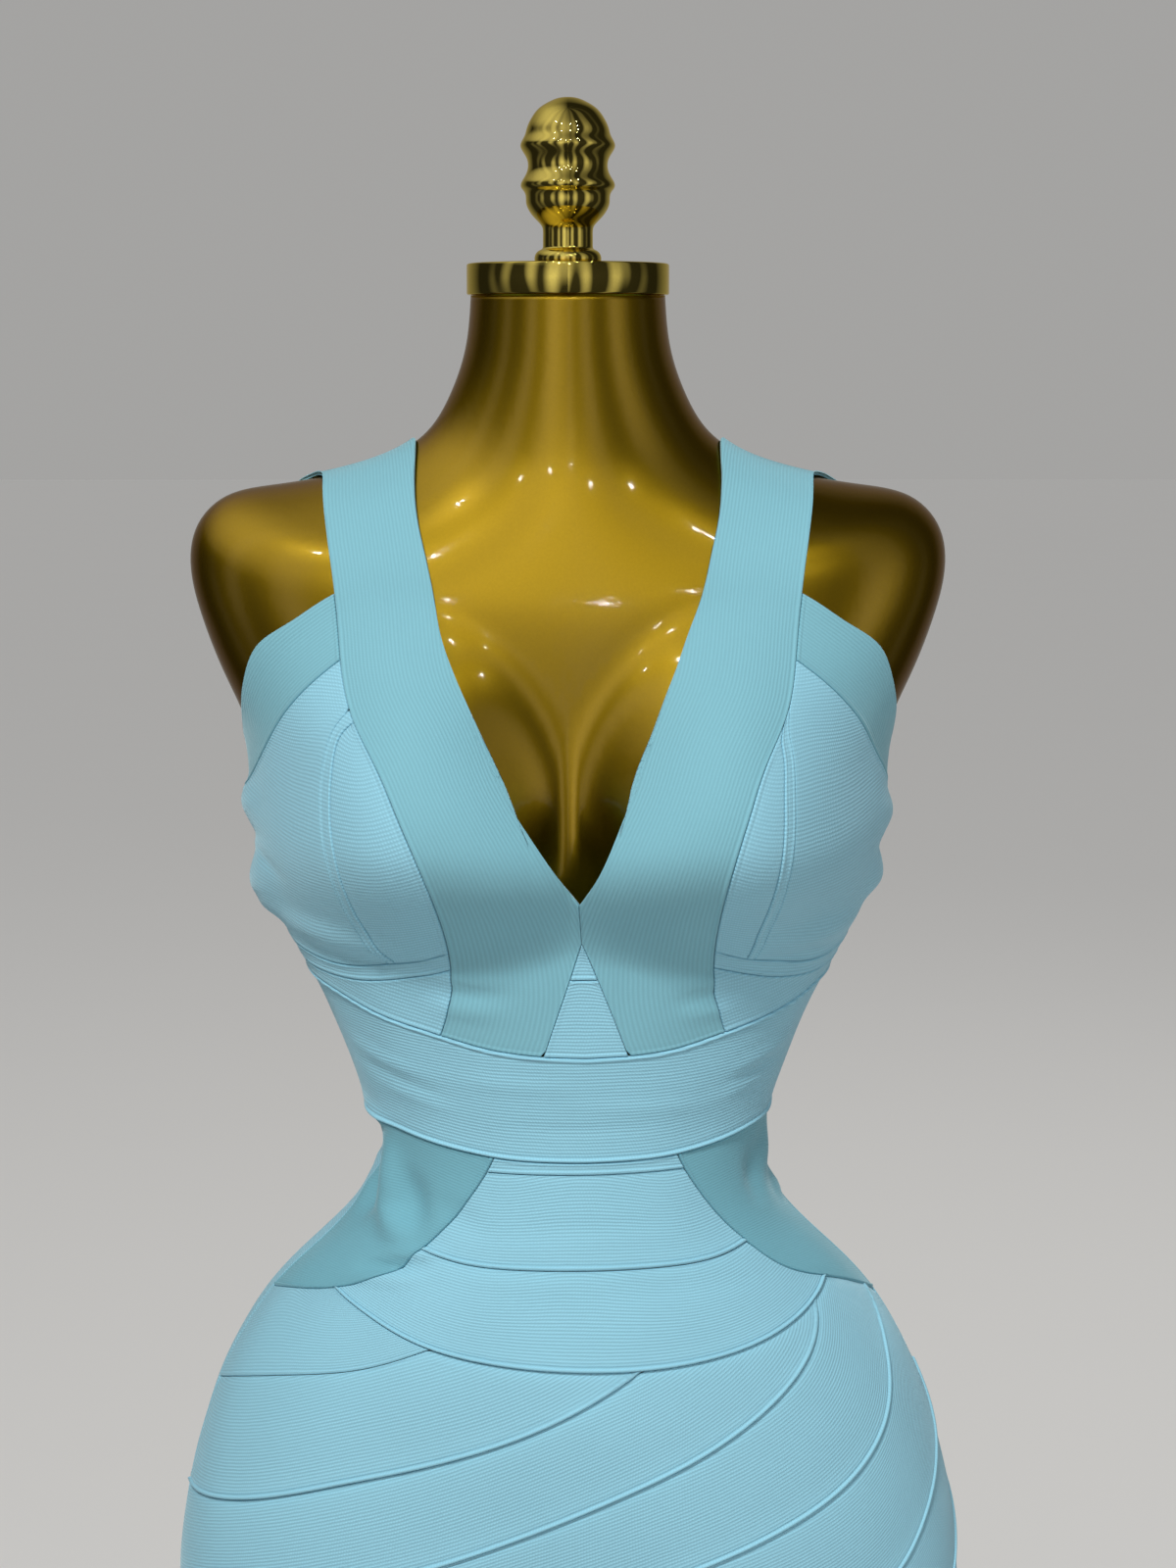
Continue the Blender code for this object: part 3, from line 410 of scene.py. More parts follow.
# Beside a seam, in mm: the grid's rows, the rounded edge, the roll, and the stitching behind it
EDGE_ROWS = (0.1, 0.3, 0.6, 1.0, 1.4, 1.8, 2.2, 2.6, 3.2, 4.2, 6.5)
WALL_ROUND = 0.9
WALL_DEEP = 0.95
ROLL_AT, ROLL_WIDE = 1.1, 1.3
STITCH_AT, STITCH_WIDE, STITCH_DEEP = 2.4, 0.9, 0.45
LIFT_LOW, LIFT_HIGH = -0.5, 1.2
PUFF_FROM, PUFF_TO, PUFF_SHARE = 1.0, 9.0, 0.5
RIB_SPREAD, SPREAD_FROM, SPREAD_TO = 0.28, 380.0, 560.0
KNIT_MAP = 10
SHORTEST = 3.0
ALONG_STEP = 4.5


def shares(length, step):
    """Where the grid's lines go between two seams, close together beside each."""
    near = [d for d in EDGE_ROWS if d < 0.42 * length]
    gap = length - 2 * near[-1]
    count = max(1, round(gap / step))
    middle = [near[-1] + gap * k / count for k in range(1, count)]
    return np.array(near + middle + [length - d for d in reversed(near)]) / length


def resampled(line, at):
    flat = np.asarray(line) * (MM_PER_DEGREE, 1)
    t = np.concatenate([[0], np.cumsum(np.linalg.norm(np.diff(flat, axis=0), axis=1))])
    if t[-1] < 1e-9:
        return np.repeat(np.asarray(line)[:1], len(at), axis=0)
    return np.stack([np.interp(at * t[-1], t, np.asarray(line)[:, k]) for k in range(2)], axis=1)


def real_length(line):
    line = np.asarray(line)
    points = cloth_place(line[:, 0], line[:, 1], np.zeros(len(line)))
    return np.linalg.norm(np.diff(points, axis=0), axis=1).sum() / MM


def patch(top, bottom, left, right, step):
    """Places over the area between four sides: top and bottom run left to right."""
    along = shares(max(real_length(top), real_length(bottom)), step)
    half = np.array([0.5])
    middle = np.concatenate([resampled(top, half), resampled(bottom, half)])
    tall = max(real_length(left), real_length(right), real_length(middle), SHORTEST)
    across = shares(tall, step)
    u, v = along[None, :, None], across[:, None, None]
    upper, lower = resampled(top, along)[None], resampled(bottom, along)[None]
    first, last = resampled(left, across)[:, None], resampled(right, across)[:, None]
    corners = ((1 - u) * (1 - v) * top[0] + u * (1 - v) * top[-1]
               + (1 - u) * v * bottom[0] + u * v * bottom[-1])
    return (1 - v) * upper + v * lower + (1 - u) * first + u * last - corners


def running(points, axis):
    """Length in mm along the rows or columns of a grid of points."""
    steps = np.linalg.norm(np.diff(points, axis=axis), axis=-1) / MM
    return np.cumsum(np.insert(steps, 0, 0.0, axis=axis), axis=axis)


def rounded_edge(d):
    """How far the cloth falls away, in mm, over the rounded edge at a seam."""
    edge = np.clip(1 - d / WALL_ROUND, 0, 1)
    return -WALL_DEEP * (1 - np.sqrt(1 - edge**2))


def welt(d, high):
    """Height in mm of the roll beside a seam, with the groove of its stitching behind it."""
    roll = high * hump(d, ROLL_AT, ROLL_WIDE)
    return roll - STITCH_DEEP * abs(high) * hump(d, STITCH_AT, STITCH_WIDE)


# Each piece of cloth with its length, width and area as worn, in metres
SHEETS = []


def nearest(points, line):
    """Distance in mm of each point from a seam, given by its samples."""
    seam = cloth_place(line[:, 0], line[:, 1], np.zeros(len(line)))
    fine = np.concatenate([seam[:-1] + (seam[1:] - seam[:-1]) * part for part in (0, 0.5)])
    rows = [np.linalg.norm(row[:, None] - fine[None], axis=-1).min(axis=1) for row in points]
    return np.array(rows) / MM


def add_cloth(name, sides, material, welts=(0.3, 0.4, 0.2, 0.2), ribs_follow=None):
    """One sewn piece: a fine shell over its four sides, with welts beside its seams.

    The map holds the way along the ribs and across them, for the knit. The ribs run beside the
    foot of the piece, or beside the line that they follow, a little wider apart low down."""
    top, bottom, left, right = (np.asarray(side) for side in sides)
    places = patch(top, bottom, left, right, ALONG_STEP)
    turn, drop = places[..., 0], places[..., 1]
    flat = cloth_place(turn, drop, np.zeros(turn.shape))
    along, across = running(flat, 1), running(flat, 0)
    lengths, widths = along[:, -1:], across[-1:, :]
    gaps = (across, widths - across, along, lengths - along)
    height = np.maximum(sum(rounded_edge(gap) for gap in gaps), -WALL_DEEP)
    lift = np.clip(sum(welt(gap, high) for gap, high in zip(gaps, welts)), LIFT_LOW, LIFT_HIGH)
    lift += sum(PUFF_SHARE * high * (1 - ease(gap, PUFF_FROM, PUFF_TO))
                for gap, high in zip(gaps, welts))
    crease = folds(turn, drop)
    outer = cloth_place(turn, drop, CLOTH_OUT + crease + (height + lift) * MM)
    inner = cloth_place(turn, drop, CLOTH_IN + crease)
    rows, columns = turn.shape
    number = np.arange(rows * columns).reshape(rows, columns)
    a, b, c, d = number[:-1, :-1], number[:-1, 1:], number[1:, 1:], number[1:, :-1]
    skin = np.stack([a, d, c, b], axis=-1).reshape(-1, 4)
    count = rows * columns
    rim = np.concatenate([number[0, :], number[1:, -1], number[-1, -2::-1], number[-2:0:-1, 0]])
    after = np.roll(rim, -1)
    walls = np.stack([rim, after, after + count, rim + count], axis=-1)
    faces = np.concatenate([skin, skin[:, ::-1] + count, walls])
    if (np.cross(outer[0, 1] - outer[0, 0], outer[1, 0] - outer[0, 0])
            * (outer[0, 0] - inner[0, 0])).sum() > 0:
        faces = faces[:, ::-1]
    points = np.concatenate([outer.reshape(-1, 3), inner.reshape(-1, 3)])
    piece = add_object("dress_" + name, points, faces.tolist(), material)
    if ribs_follow is not None:
        spread = 1 - RIB_SPREAD * ease(drop, SPREAD_FROM, SPREAD_TO)
        across = nearest(flat, ribs_follow) * spread
    else:
        across = widths - across
    knit = np.stack([along, across], axis=-1).reshape(-1, 2)
    knit = np.concatenate([knit, knit])
    layer = piece.data.uv_layers.new(name="Knit")
    corner = np.empty(len(piece.data.loops), dtype=np.int64)
    piece.data.loops.foreach_get("vertex_index", corner)
    layer.data.foreach_set("uv", (knit[corner] * MM * KNIT_MAP).astype(np.float32).ravel())
    stand_for(piece, name)
    cross = np.cross(flat[:-1, 1:] - flat[:-1, :-1], flat[1:, :-1] - flat[:-1, :-1])
    area = np.linalg.norm(cross, axis=-1).sum()
    SHEETS.append((piece, lengths.max() * MM, widths.max() * MM, area))


def add_pair(name, sides, material, **looks):
    add_cloth(name + "_right", sides, material, **looks)
    add_cloth(name + "_left", [mirrored(side) for side in sides], material, **looks)


# ---- materials

def new_material(name):
    material = bpy.data.materials.new(name)
    material.use_nodes = True
    tree = material.node_tree
    return material, tree, tree.nodes["Principled BSDF"]


def set_values(node, **values):
    """Constants on a node's own sockets, named with _ for each space."""
    for name, value in values.items():
        node.inputs[name.replace("_", " ")].default_value = value


def math_node(tree, kind, first, second=None, third=None):
    node = tree.nodes.new("ShaderNodeMath")
    node.operation = kind
    for socket, value in zip(node.inputs, (first, second, third)):
        if value is None:
            continue
        if isinstance(value, (int, float)):
            socket.default_value = value
        else:
            tree.links.new(value, socket)
    return node.outputs[0]


def noise_node(tree, vector, scale, detail):
    node = tree.nodes.new("ShaderNodeTexNoise")
    set_values(node, Scale=scale, Detail=detail)
    tree.links.new(vector, node.inputs["Vector"])
    return node.outputs["Fac"]


def wave(tree, place, pitch):
    """0 to 1 and back over each pitch in mm, along one axis of the knit's map."""
    turns = math_node(tree, "MULTIPLY", place, 2 * math.pi / (pitch * MM * KNIT_MAP))
    return math_node(tree, "MULTIPLY_ADD", math_node(tree, "SINE", turns), 0.5, 0.5)


def two_tone(tree, factor, first, second, socket):
    """A mix of two colours by the factor, into the socket."""
    mix = tree.nodes.new("ShaderNodeMix")
    mix.data_type = "RGBA"
    mix.inputs[6].default_value = (*first, 1)
    mix.inputs[7].default_value = (*second, 1)
    tree.links.new(factor, mix.inputs[0])
    tree.links.new(mix.outputs[2], socket)


def bumped(tree, height, strength, distance, sockets):
    bump = tree.nodes.new("ShaderNodeBump")
    set_values(bump, Strength=strength, Distance=distance)
    tree.links.new(height, bump.inputs["Height"])
    for socket in sockets:
        tree.links.new(bump.outputs[0], socket)


def scaled(colour, factor):
    return [min(1, part * factor) for part in colour]


def knit_material(name, colour, rib=1.75, stitch=1.5, depth=0.24, purl=0.4, shade=0.68):
    """Bandage knit: ribs along the piece crossed by stitches, painted shade in the grooves, uneven
    tone.
    """
    material, tree, shader = new_material(name)
    uv = tree.nodes.new("ShaderNodeUVMap")
    uv.uv_map = "Knit"
    split = tree.nodes.new("ShaderNodeSeparateXYZ")
    tree.links.new(uv.outputs[0], split.inputs[0])
    place = tree.nodes.new("ShaderNodeTexCoord").outputs["Object"]
    sway = noise_node(tree, uv.outputs[0], 9.0, 2.0)
    bent = math_node(tree, "MULTIPLY_ADD", sway, 0.006, split.outputs[1])
    ribs = wave(tree, bent, rib)
    stitches = wave(tree, split.outputs[0], stitch)
    loops = math_node(tree, "MULTIPLY", ribs, math_node(tree, "MULTIPLY_ADD", stitches, purl,
                                                       1 - purl))
    fuzz = noise_node(tree, place, 2600.0, 2.0)
    height = math_node(tree, "MULTIPLY_ADD", fuzz, 0.25, loops)
    bumped(tree, height, 0.9, depth * MM, [shader.inputs["Normal"]])
    broad = noise_node(tree, place, 14.0, 3.0)
    # Painted shade: the colour is darker in the grooves between ribs and stitches, where the loops
    # fall low. The broad noise adds a soft tone that differs at random.
    groove_shade_and_tone = math_node(tree, "MULTIPLY_ADD", loops, 0.62,
                     math_node(tree, "MULTIPLY_ADD", broad, 0.30, 0.22))
    two_tone(tree, groove_shade_and_tone, scaled(colour, shade), colour, shader.inputs["Base Color"])
    set_values(shader, Roughness=0.62, Specular_IOR_Level=0.35, Sheen_Weight=0.35,
               Sheen_Roughness=0.4, Sheen_Tint=(0.75, 0.95, 1.0, 1))
    return material


def gold_material(name, colour, rough, coat, peel, edge=(1.0, 0.9, 0.6)):
    """Gold paint or plate: fine flakes, a slightly cloudy gloss, and peel mm of orange peel."""
    material, tree, shader = new_material(name)
    place = tree.nodes.new("ShaderNodeTexCoord").outputs["Object"]
    flake = noise_node(tree, place, 900.0, 2.0)
    cloud = noise_node(tree, place, 7.0, 3.0)
    tone = math_node(tree, "MULTIPLY_ADD", flake, 0.6, math_node(tree, "MULTIPLY", cloud, 0.4))
    two_tone(tree, tone, scaled(colour, 0.86), scaled(colour, 1.1), shader.inputs["Base Color"])
    tree.links.new(math_node(tree, "MULTIPLY_ADD", cloud, rough * 0.3, rough * 0.85),
                   shader.inputs["Roughness"])
    set_values(shader, Metallic=1.0, Specular_Tint=(*edge, 1), Coat_Weight=coat,
               Coat_Roughness=0.06)
    bumped(tree, noise_node(tree, place, 170.0, 2.0), 0.6, peel * MM,
           [shader.inputs["Normal"], shader.inputs["Coat Normal"]])
    return material


def plain_material(name, colour, rough):
    material, tree, shader = new_material(name)
    place = tree.nodes.new("ShaderNodeTexCoord").outputs["Object"]
    two_tone(tree, noise_node(tree, place, 2.0, 2.0), scaled(colour, 0.97), colour,
             shader.inputs["Base Color"])
    set_values(shader, Roughness=rough)
    return material


# ---- the dress

AQUA = (0.310, 0.630, 0.775)
# The satin bands' colour is partly their own deeper aqua and partly painted shade, darkened so that
# the straps facing up into the key light stay dim.
AQUA_SATIN_AND_PAINTED_SHADE = (0.213, 0.476, 0.564)
# The hip panels' colour is partly their own deeper knit and partly painted shade, for the hollow
# below the waist at the sides.
AQUA_DEEP_AND_PAINTED_SHADE = (0.175, 0.430, 0.520)


def front_panel(seam_top, seam_foot, right_side, left_side):
    """Four sides of a piece that spans centre front, from half seams that start there."""
    return (joined(mirrored(seam_top)[::-1], seam_top),
            joined(mirrored(seam_foot)[::-1], seam_foot), left_side, right_side)


def make_bodice(bandage, mesh_knit, satin_knit_and_painted_shade):
    band_foot = joined(run("centre", "v_foot", "gusset_tip"),
                       run("gusset_side", "gusset_tip", "gusset_foot"),
                       run("band_top", "gusset_foot", "band_foot"))
    outer_seam = run("neck_seam", "band_foot", "yoke_back")
    band = (run("neck_edge", "v_foot", "neck_back"), outer_seam, band_foot,
            run("neck_back_seam", "neck_back", "yoke_back"))
    looks = {"welts": (0.0, 0.4, 0.2, 0.2)}
    add_cloth("neckline_band_right", band, satin_knit_and_painted_shade, ribs_follow=outer_seam, **looks)
    left_band = (run("left_neck_edge", "v_foot", "neck_back"), *band[1:])
    add_cloth("neckline_band_left", [mirrored(side) for side in left_band], satin_knit_and_painted_shade,
              ribs_follow=mirrored(outer_seam), **looks)
    upper = run("gusset_side", "gusset_tip", "gusset_step")
    tip = np.array([spot("gusset_tip")] * 2)
    step = joined(mirrored(upper[-1:]), upper[-1:])
    add_cloth("gusset_top", (tip, step, mirrored(upper), upper), bandage)
    lower = run("gusset_side", "gusset_step", "gusset_foot")
    foot = run("band_top_mid", "gusset_foot", (0, 601))[::-1]
    add_cloth("gusset_bottom", (
        step, joined(mirrored(foot)[::-1], foot), mirrored(lower), lower), bandage)
    for side, darts, placed in (("_right", "", np.asarray), ("_left", "left_", mirrored)):
        inner, outer = darts + "dart_in", darts + "dart_out"
        foot_in, foot_out = darts + "dart_foot_in", darts + "dart_foot_out"
        top = np.array([spot("dart_top_in")] * 2)
        add_cloth("cup_inner" + side, [placed(s) for s in (
            top, run("cup_seam", "cup_foot", foot_in), run("neck_seam", "dart_top_in", "cup_foot"),
            run(inner, "dart_top_in", foot_in))], mesh_knit, welts=(0, 0.3, 0.3, 0.0))
        add_cloth("cup_tape" + side, [placed(s) for s in (
            run("neck_seam", "dart_top_in", "dart_top_out"), run("cup_seam", foot_in, foot_out),
            run(inner, "dart_top_in", foot_in), run(outer, "dart_top_out", foot_out))],
            mesh_knit, welts=(0.0, 0.0, 0.3, 0.3))
        add_cloth("cup_outer" + side, [placed(s) for s in (
            run("arm_seam", "arm_foot", "side_arm"), run("cup_seam", foot_out, "side_cup"),
            joined(run("neck_seam", "arm_foot", "dart_top_out"),
                   run(outer, "dart_top_out", foot_out)),
            run("side_seam", "side_arm", "side_cup"))], mesh_knit, welts=(0.3, 0.3, 0.0, 0.2))
    add_pair("armhole_band", (
        run("arm_edge", "arm_top", "arm_back"), run("arm_seam", "arm_foot", "arm_back_foot"),
        run("neck_seam", "arm_top", "arm_foot"), run("neck_seam", "arm_back", "arm_back_foot"),
    ), satin_knit_and_painted_shade, welts=(0.0, 0.4, 0.2, 0.2))
    add_pair("underbust_tape", (
        run("cup_seam", "cup_foot", "side_cup"), run("tape_seam", "tape_foot", "side_tape"),
        run("neck_seam", "cup_foot", "tape_foot"), run("side_seam", "side_cup", "side_tape"),
    ), bandage, welts=(0.3, 0.3, 0.1, 0.1))
    add_pair("underbust_side", (
        run("tape_seam", "tape_foot", "side_tape"), run("band_top", "band_foot", "side_band"),
        run("neck_seam", "tape_foot", "band_foot"), run("side_seam", "side_tape", "side_band"),
    ), mesh_knit, welts=(0.2, 0.4, 0.2, 0.1))
    add_pair("back_bodice", (
        joined(run("arm_seam", "side_arm", "arm_back_foot"),
               run("neck_seam", "arm_back_foot", "yoke_back")),
        run("band_top", "side_band", "band_back"), run("side_seam", "side_arm", "side_band"),
        run("back_seam", "yoke_back", "band_back"),
    ), bandage)


def make_waist(bandage, smooth_knit_and_painted_shade):
    top = joined(run("band_top_mid", (0, 601), "gusset_foot"),
                 run("band_top", "gusset_foot", "side_band"))
    foot = run("waist_seam", "waist_mid", "side_waist")
    side = run("side_seam", "side_band", "side_waist")
    add_cloth("waist_band_front", front_panel(top, foot, side, mirrored(side)), bandage,
              welts=(0.8, 1.0, 0.2, 0.2))
    add_pair("waist_band_back", (
        run("band_top", "side_band", "band_back"), run("waist_seam", "side_waist", "waist_back"),
        side, run("back_seam", "band_back", "waist_back"),
    ), bandage)
    strip = run("strip_seam", (0, 688), "strip_end")
    add_cloth("waist_strip", front_panel(
        run("waist_seam", "waist_mid", "hip_start"), strip,
        run("hip_seam", "hip_start", "strip_end"),
        mirrored(run("left_hip_seam", "hip_start", "strip_end"))), bandage)
    belly = run("belly_seam", (0, 758), "hip_a")
    add_cloth("belly_panel", front_panel(
        strip, belly, run("hip_seam", "strip_end", "hip_a"),
        mirrored(run("left_hip_seam", "strip_end", "hip_a"))), bandage, welts=(-0.3, 0.8, 0.1, 0.1))
    add_cloth("lower_belly_panel", (
        joined(mirrored(belly)[::-1], belly), run("ridge", "-hip_b", "hip_b"),
        mirrored(run("left_hip_seam", "hip_a", "hip_b")), run("hip_seam", "hip_a", "hip_b"),
    ), bandage, welts=(-0.3, 1.0, 0.1, 0.1))
    hip_top = run("waist_seam", "hip_start", "side_waist")
    add_cloth("side_hip_right", (
        hip_top, run("hip_seam", "hip_b", "side_hip"), run("hip_seam", "hip_start", "hip_b"),
        run("right_seam", "side_waist", "side_hip")), smooth_knit_and_painted_shade, welts=(0.1, 0.5, 0.5, 0.2))
    add_cloth("side_hip_left", (
        mirrored(hip_top), mirrored(run("left_hip_seam", "hip_b", "left_hip")),
        mirrored(run("left_hip_seam", "hip_start", "hip_b")),
        run("left_seam", "-side_waist", "-left_hip")), smooth_knit_and_painted_shade, welts=(0.1, 0.5, 0.5, 0.2))
    add_cloth("hip_panel", (
        mirrored(run("left_hip_seam", "hip_b", "left_hip"))[::-1],
        run("wrap_1", "left_1", "ridge_1"), run("left_seam", "-left_hip", "left_1"),
        run("ridge", "-hip_b", "ridge_1")), bandage, welts=(0.1, 0.3, 0.2, 0.0))


def make_skirt(bandage):
    bands = (
        (joined(run("wrap_1", "left_1", "ridge_1"), run("ridge", "ridge_1", "ridge_2")),
         "ridge_2", None),
        (joined(run("wrap_2", "left_2", "ridge_2"), run("ridge", "ridge_2", "ridge_3")),
         "ridge_3", None),
        (joined(run("wrap_3", "left_3", "ridge_3"), run("ridge", "ridge_3", "hip_b"),
                run("hip_seam", "hip_b", "hip_c")), "hip_c", None),
        (joined(run("wrap_4", "left_4", "hip_c"), run("hip_seam", "hip_c", "side_hip")),
         "right_5", run("right_seam", "side_hip", "right_5")),
        (run("wrap_5", "left_5", "right_5"), "right_6", run("right_seam", "right_5", "right_6")),
        (run("wrap_6", "left_6", "right_6"), "right_7", run("right_seam", "right_6", "right_7")),
    )
    for number, (top, end, side) in enumerate(bands, start=1):
        low = f"left_{number + 1}"
        foot = run(f"wrap_{number + 1}", low, end)
        right = np.array([foot[-1]] * 2) if side is None else side
        add_cloth(f"wrap_band_{number}", (
            top, foot, run("left_seam", f"left_{number}", low), right), bandage,
            welts=(-0.5, 1.0, 0.2, 0.0))
    add_cloth("wrap_band_7", (
        run("wrap_7", "left_7", "right_7"), run("hem_seam", "left_band", "right_band"),
        run("left_seam", "left_7", "left_band"), run("right_seam", "right_7", "right_band")),
        bandage)
    add_cloth("hem_band_front", (
        run("hem_seam", "left_band", "right_band"), run("hem_edge", "left_hem", "right_hem"),
        run("left_seam", "left_band", "left_hem"), run("right_seam", "right_band", "right_hem")),
        bandage, welts=(0.4, 0.0, 0.2, 0.2))
    top = run("waist_seam", "side_waist", "waist_back")
    foot = run("hem_seam", "right_band", "back_band")
    middle = run("back_seam", "waist_back", "back_band")
    add_cloth("back_skirt_right", (
        top, foot, run("right_seam", "side_waist", "right_band"), middle), bandage)
    add_cloth("back_skirt_left", (
        mirrored(top), mirrored(foot), run("left_seam", "-side_waist", "left_band"),
        mirrored(middle)), bandage)
    add_pair("hem_band_back", (
        foot, run("hem_edge", "right_hem", "back_hem"),
        run("right_seam", "right_band", "right_hem"), run("back_seam", "back_band", "back_hem"),
    ), bandage, welts=(0.4, 0.0, 0.2, 0.2))


# ---- form and stand

FORM_ACROSS, FORM_DOWN = 192, 300
FORM_BOTTOM_DROP = 1195.0
FORM_FOOT_SHARE, FORM_FOOT_DEEP = 0.965, 5 * MM
TURNED_SIDES = 128
SHARP_EDGE = math.radians(38)


def grid_faces(rows, columns):
    """Quads of a tube of rings, with a face over each end."""
    ring = np.arange(columns)
    after = (ring + 1) % columns
    faces = []
    for row in range(rows - 1):
        a, b = row * columns, (row + 1) * columns
        faces += np.stack([ring + a, after + a, after + b, ring + b], axis=-1).tolist()
    faces.append(ring[::-1].tolist())
    faces.append((ring + (rows - 1) * columns).tolist())
    return faces


def make_form(gold):
    turns = np.linspace(-180, 180, FORM_ACROSS, endpoint=False)
    turn, drop = np.meshgrid(turns, np.linspace(0, FORM_BOTTOM_DROP, FORM_DOWN))
    inset = form_inset(drop)
    points = figure(turn, drop, False) - figure_normal(turn, drop, False) * inset[..., None]
    points[0, :, 2] = FIGURE[0][1]
    foot = points[-1] * (FORM_FOOT_SHARE, FORM_FOOT_SHARE, 1) - (0, 0, FORM_FOOT_DEEP)
    points = np.concatenate([points, foot[None]]).reshape(-1, 3)
    faces = [face[::-1] for face in grid_faces(FORM_DOWN + 1, FORM_ACROSS)]
    piece = add_object("form", points, faces, gold)
    stand_for(piece, "form_torso")


def turned(name, node, profile, material, soft=6):
    """Replaces a turned CAD node by a finer one. The profile is radius and height above its foot
    in mm. A smooth curve through it has soft rings from point to point, and 1 keeps corners."""
    low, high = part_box(node)
    line = np.array(profile, float)
    if soft > 1:
        t = np.concatenate([[0], np.cumsum(np.linalg.norm(np.diff(line, axis=0), axis=1))])
        at = np.concatenate([np.linspace(a, b, soft, endpoint=False) for a, b in zip(t, t[1:])])
        line = spline(t, line, natural_bend(t, line), np.append(at, t[-1]))
    line[:, 1] *= (high.z - low.z) / MM / line[:, 1].max()
    angle = np.linspace(0, 2 * math.pi, TURNED_SIDES, endpoint=False)
    points = np.stack([np.outer(line[:, 0] * MM, np.sin(angle)),
                       np.outer(line[:, 0] * MM, -np.cos(angle)),
                       np.repeat(low.z + line[:, 1:] * MM, TURNED_SIDES, axis=1)], axis=-1)
    piece = add_object(name, points.reshape(-1, 3), grid_faces(len(line), TURNED_SIDES), material)
    crease = piece.modifiers.new("edges", "EDGE_SPLIT")
    crease.split_angle = SHARP_EDGE
    stand_for(piece, node)


# Profiles of the turned pieces, radius and height above the foot in mm
CAP_PROFILE = ((49.0, 0.0), (49.9, 0.25), (50.3, 0.9), (50.3, 14.5), (50.0, 15.15), (49.3, 15.5))
FINIAL_PROFILE = (
    (16.2, 0.0), (16.6, 1.6), (16.2, 4.2), (14.4, 6.2), (12.6, 7.4), (12.4, 8.6), (12.4, 12.0),
    (12.4, 15.6), (12.7, 17.4), (14.2, 19.6), (17.1, 22.6), (19.5, 26.0), (20.7, 29.4),
    (21.0, 33.2), (21.9, 35.1), (23.1, 36.8), (23.3, 38.2), (22.2, 40.8), (20.4, 44.1),
    (19.7, 47.5), (20.4, 51.0), (22.7, 54.9), (23.4, 57.0), (22.6, 59.6), (21.2, 62.3),
    (20.2, 65.7), (18.1, 70.2), (14.6, 74.8), (9.6, 78.1), (4.6, 80.1), (0.4, 80.6),
)
BASE_PROFILE = ((177.0, 0.0), (179.2, 0.5), (180.0, 1.6), (180.0, 4.4), (179.4, 5.5), (178.0, 6.0))


def make_stand(polished, satin):
    turned("neck_cap_fine", "neck_cap", CAP_PROFILE, polished, soft=1)
    turned("finial_fine", "finial", FINIAL_PROFILE, polished)
    turned("base_fine", "base", BASE_PROFILE, satin, soft=1)
    low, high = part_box("pole")
    rise = (high.z - low.z) / MM
    foot = ((38.0, 0.0), (38.0, 3.4), (37.2, 4.2), (24.0, 7.4), (19.0, 11.0), (16.4, 28.0),
            (15.6, 30.5), (14.0, 31.2), (14.0, 33.0))
    head = tuple((radius, rise - height) for radius, height in reversed(foot))
    turned("pole_fine", "pole", foot + head, satin, soft=1)


# ---- stage

# Small bright spots under the ceiling, x and y in metres, whose points show in the gold
CEILING_SPOTS = ((-0.75, -0.8), (0.55, -0.9), (-0.45, -1.25), (0.2, -1.4), (0.9, -1.5),
                 (-0.9, -1.9), (-0.15, -2.0), (0.45, -2.3), (-0.5, -2.7), (0.1, -3.0))


def area_light(name, place, aim, size, power, colour=(1, 1, 1), mirrored_in_gold=True):
    """A round lamp that faces its aim."""
    light = bpy.data.lights.new(name, "AREA")
    light.shape = "DISK"
    light.size = size
    light.energy = power
    light.color = colour
    lamp = bpy.data.objects.new(name, light)
    lamp.location = place
    lamp.rotation_euler = (Vector(aim) - Vector(place)).to_track_quat("-Z", "Y").to_euler()
    lamp.visible_glossy = mirrored_in_gold
    bpy.context.scene.collection.objects.link(lamp)


# The surroundings: what the camera sees, what lights the cloth, and the room that the gold mirrors.
# The room is a row of upright panels in front, brightest at eye level, with a glow behind the
# stand and another high on the -X side.
SEEN_COLOUR = (0.372, 0.368, 0.360, 1)
FLAT_LIGHT = (0.13, 0.13, 0.13, 1)
ROOM_COLOUR = (1.0, 0.98, 0.94, 1)
ROOM_BRIGHT, ROOM_DIM = 0.43, 0.02
ROOM_BEHIND, ROOM_SIDE = 0.45, 1.5
PANEL_SCALE, PANEL_SLANT = 2.6, 0.12
PANEL_FROM, PANEL_TO = 0.44, 0.62
PANEL_DARK, PANEL_LIT = 0.06, 2.1


def above_zero(tree, value):
    return math_node(tree, "MAXIMUM", value, 0.0)


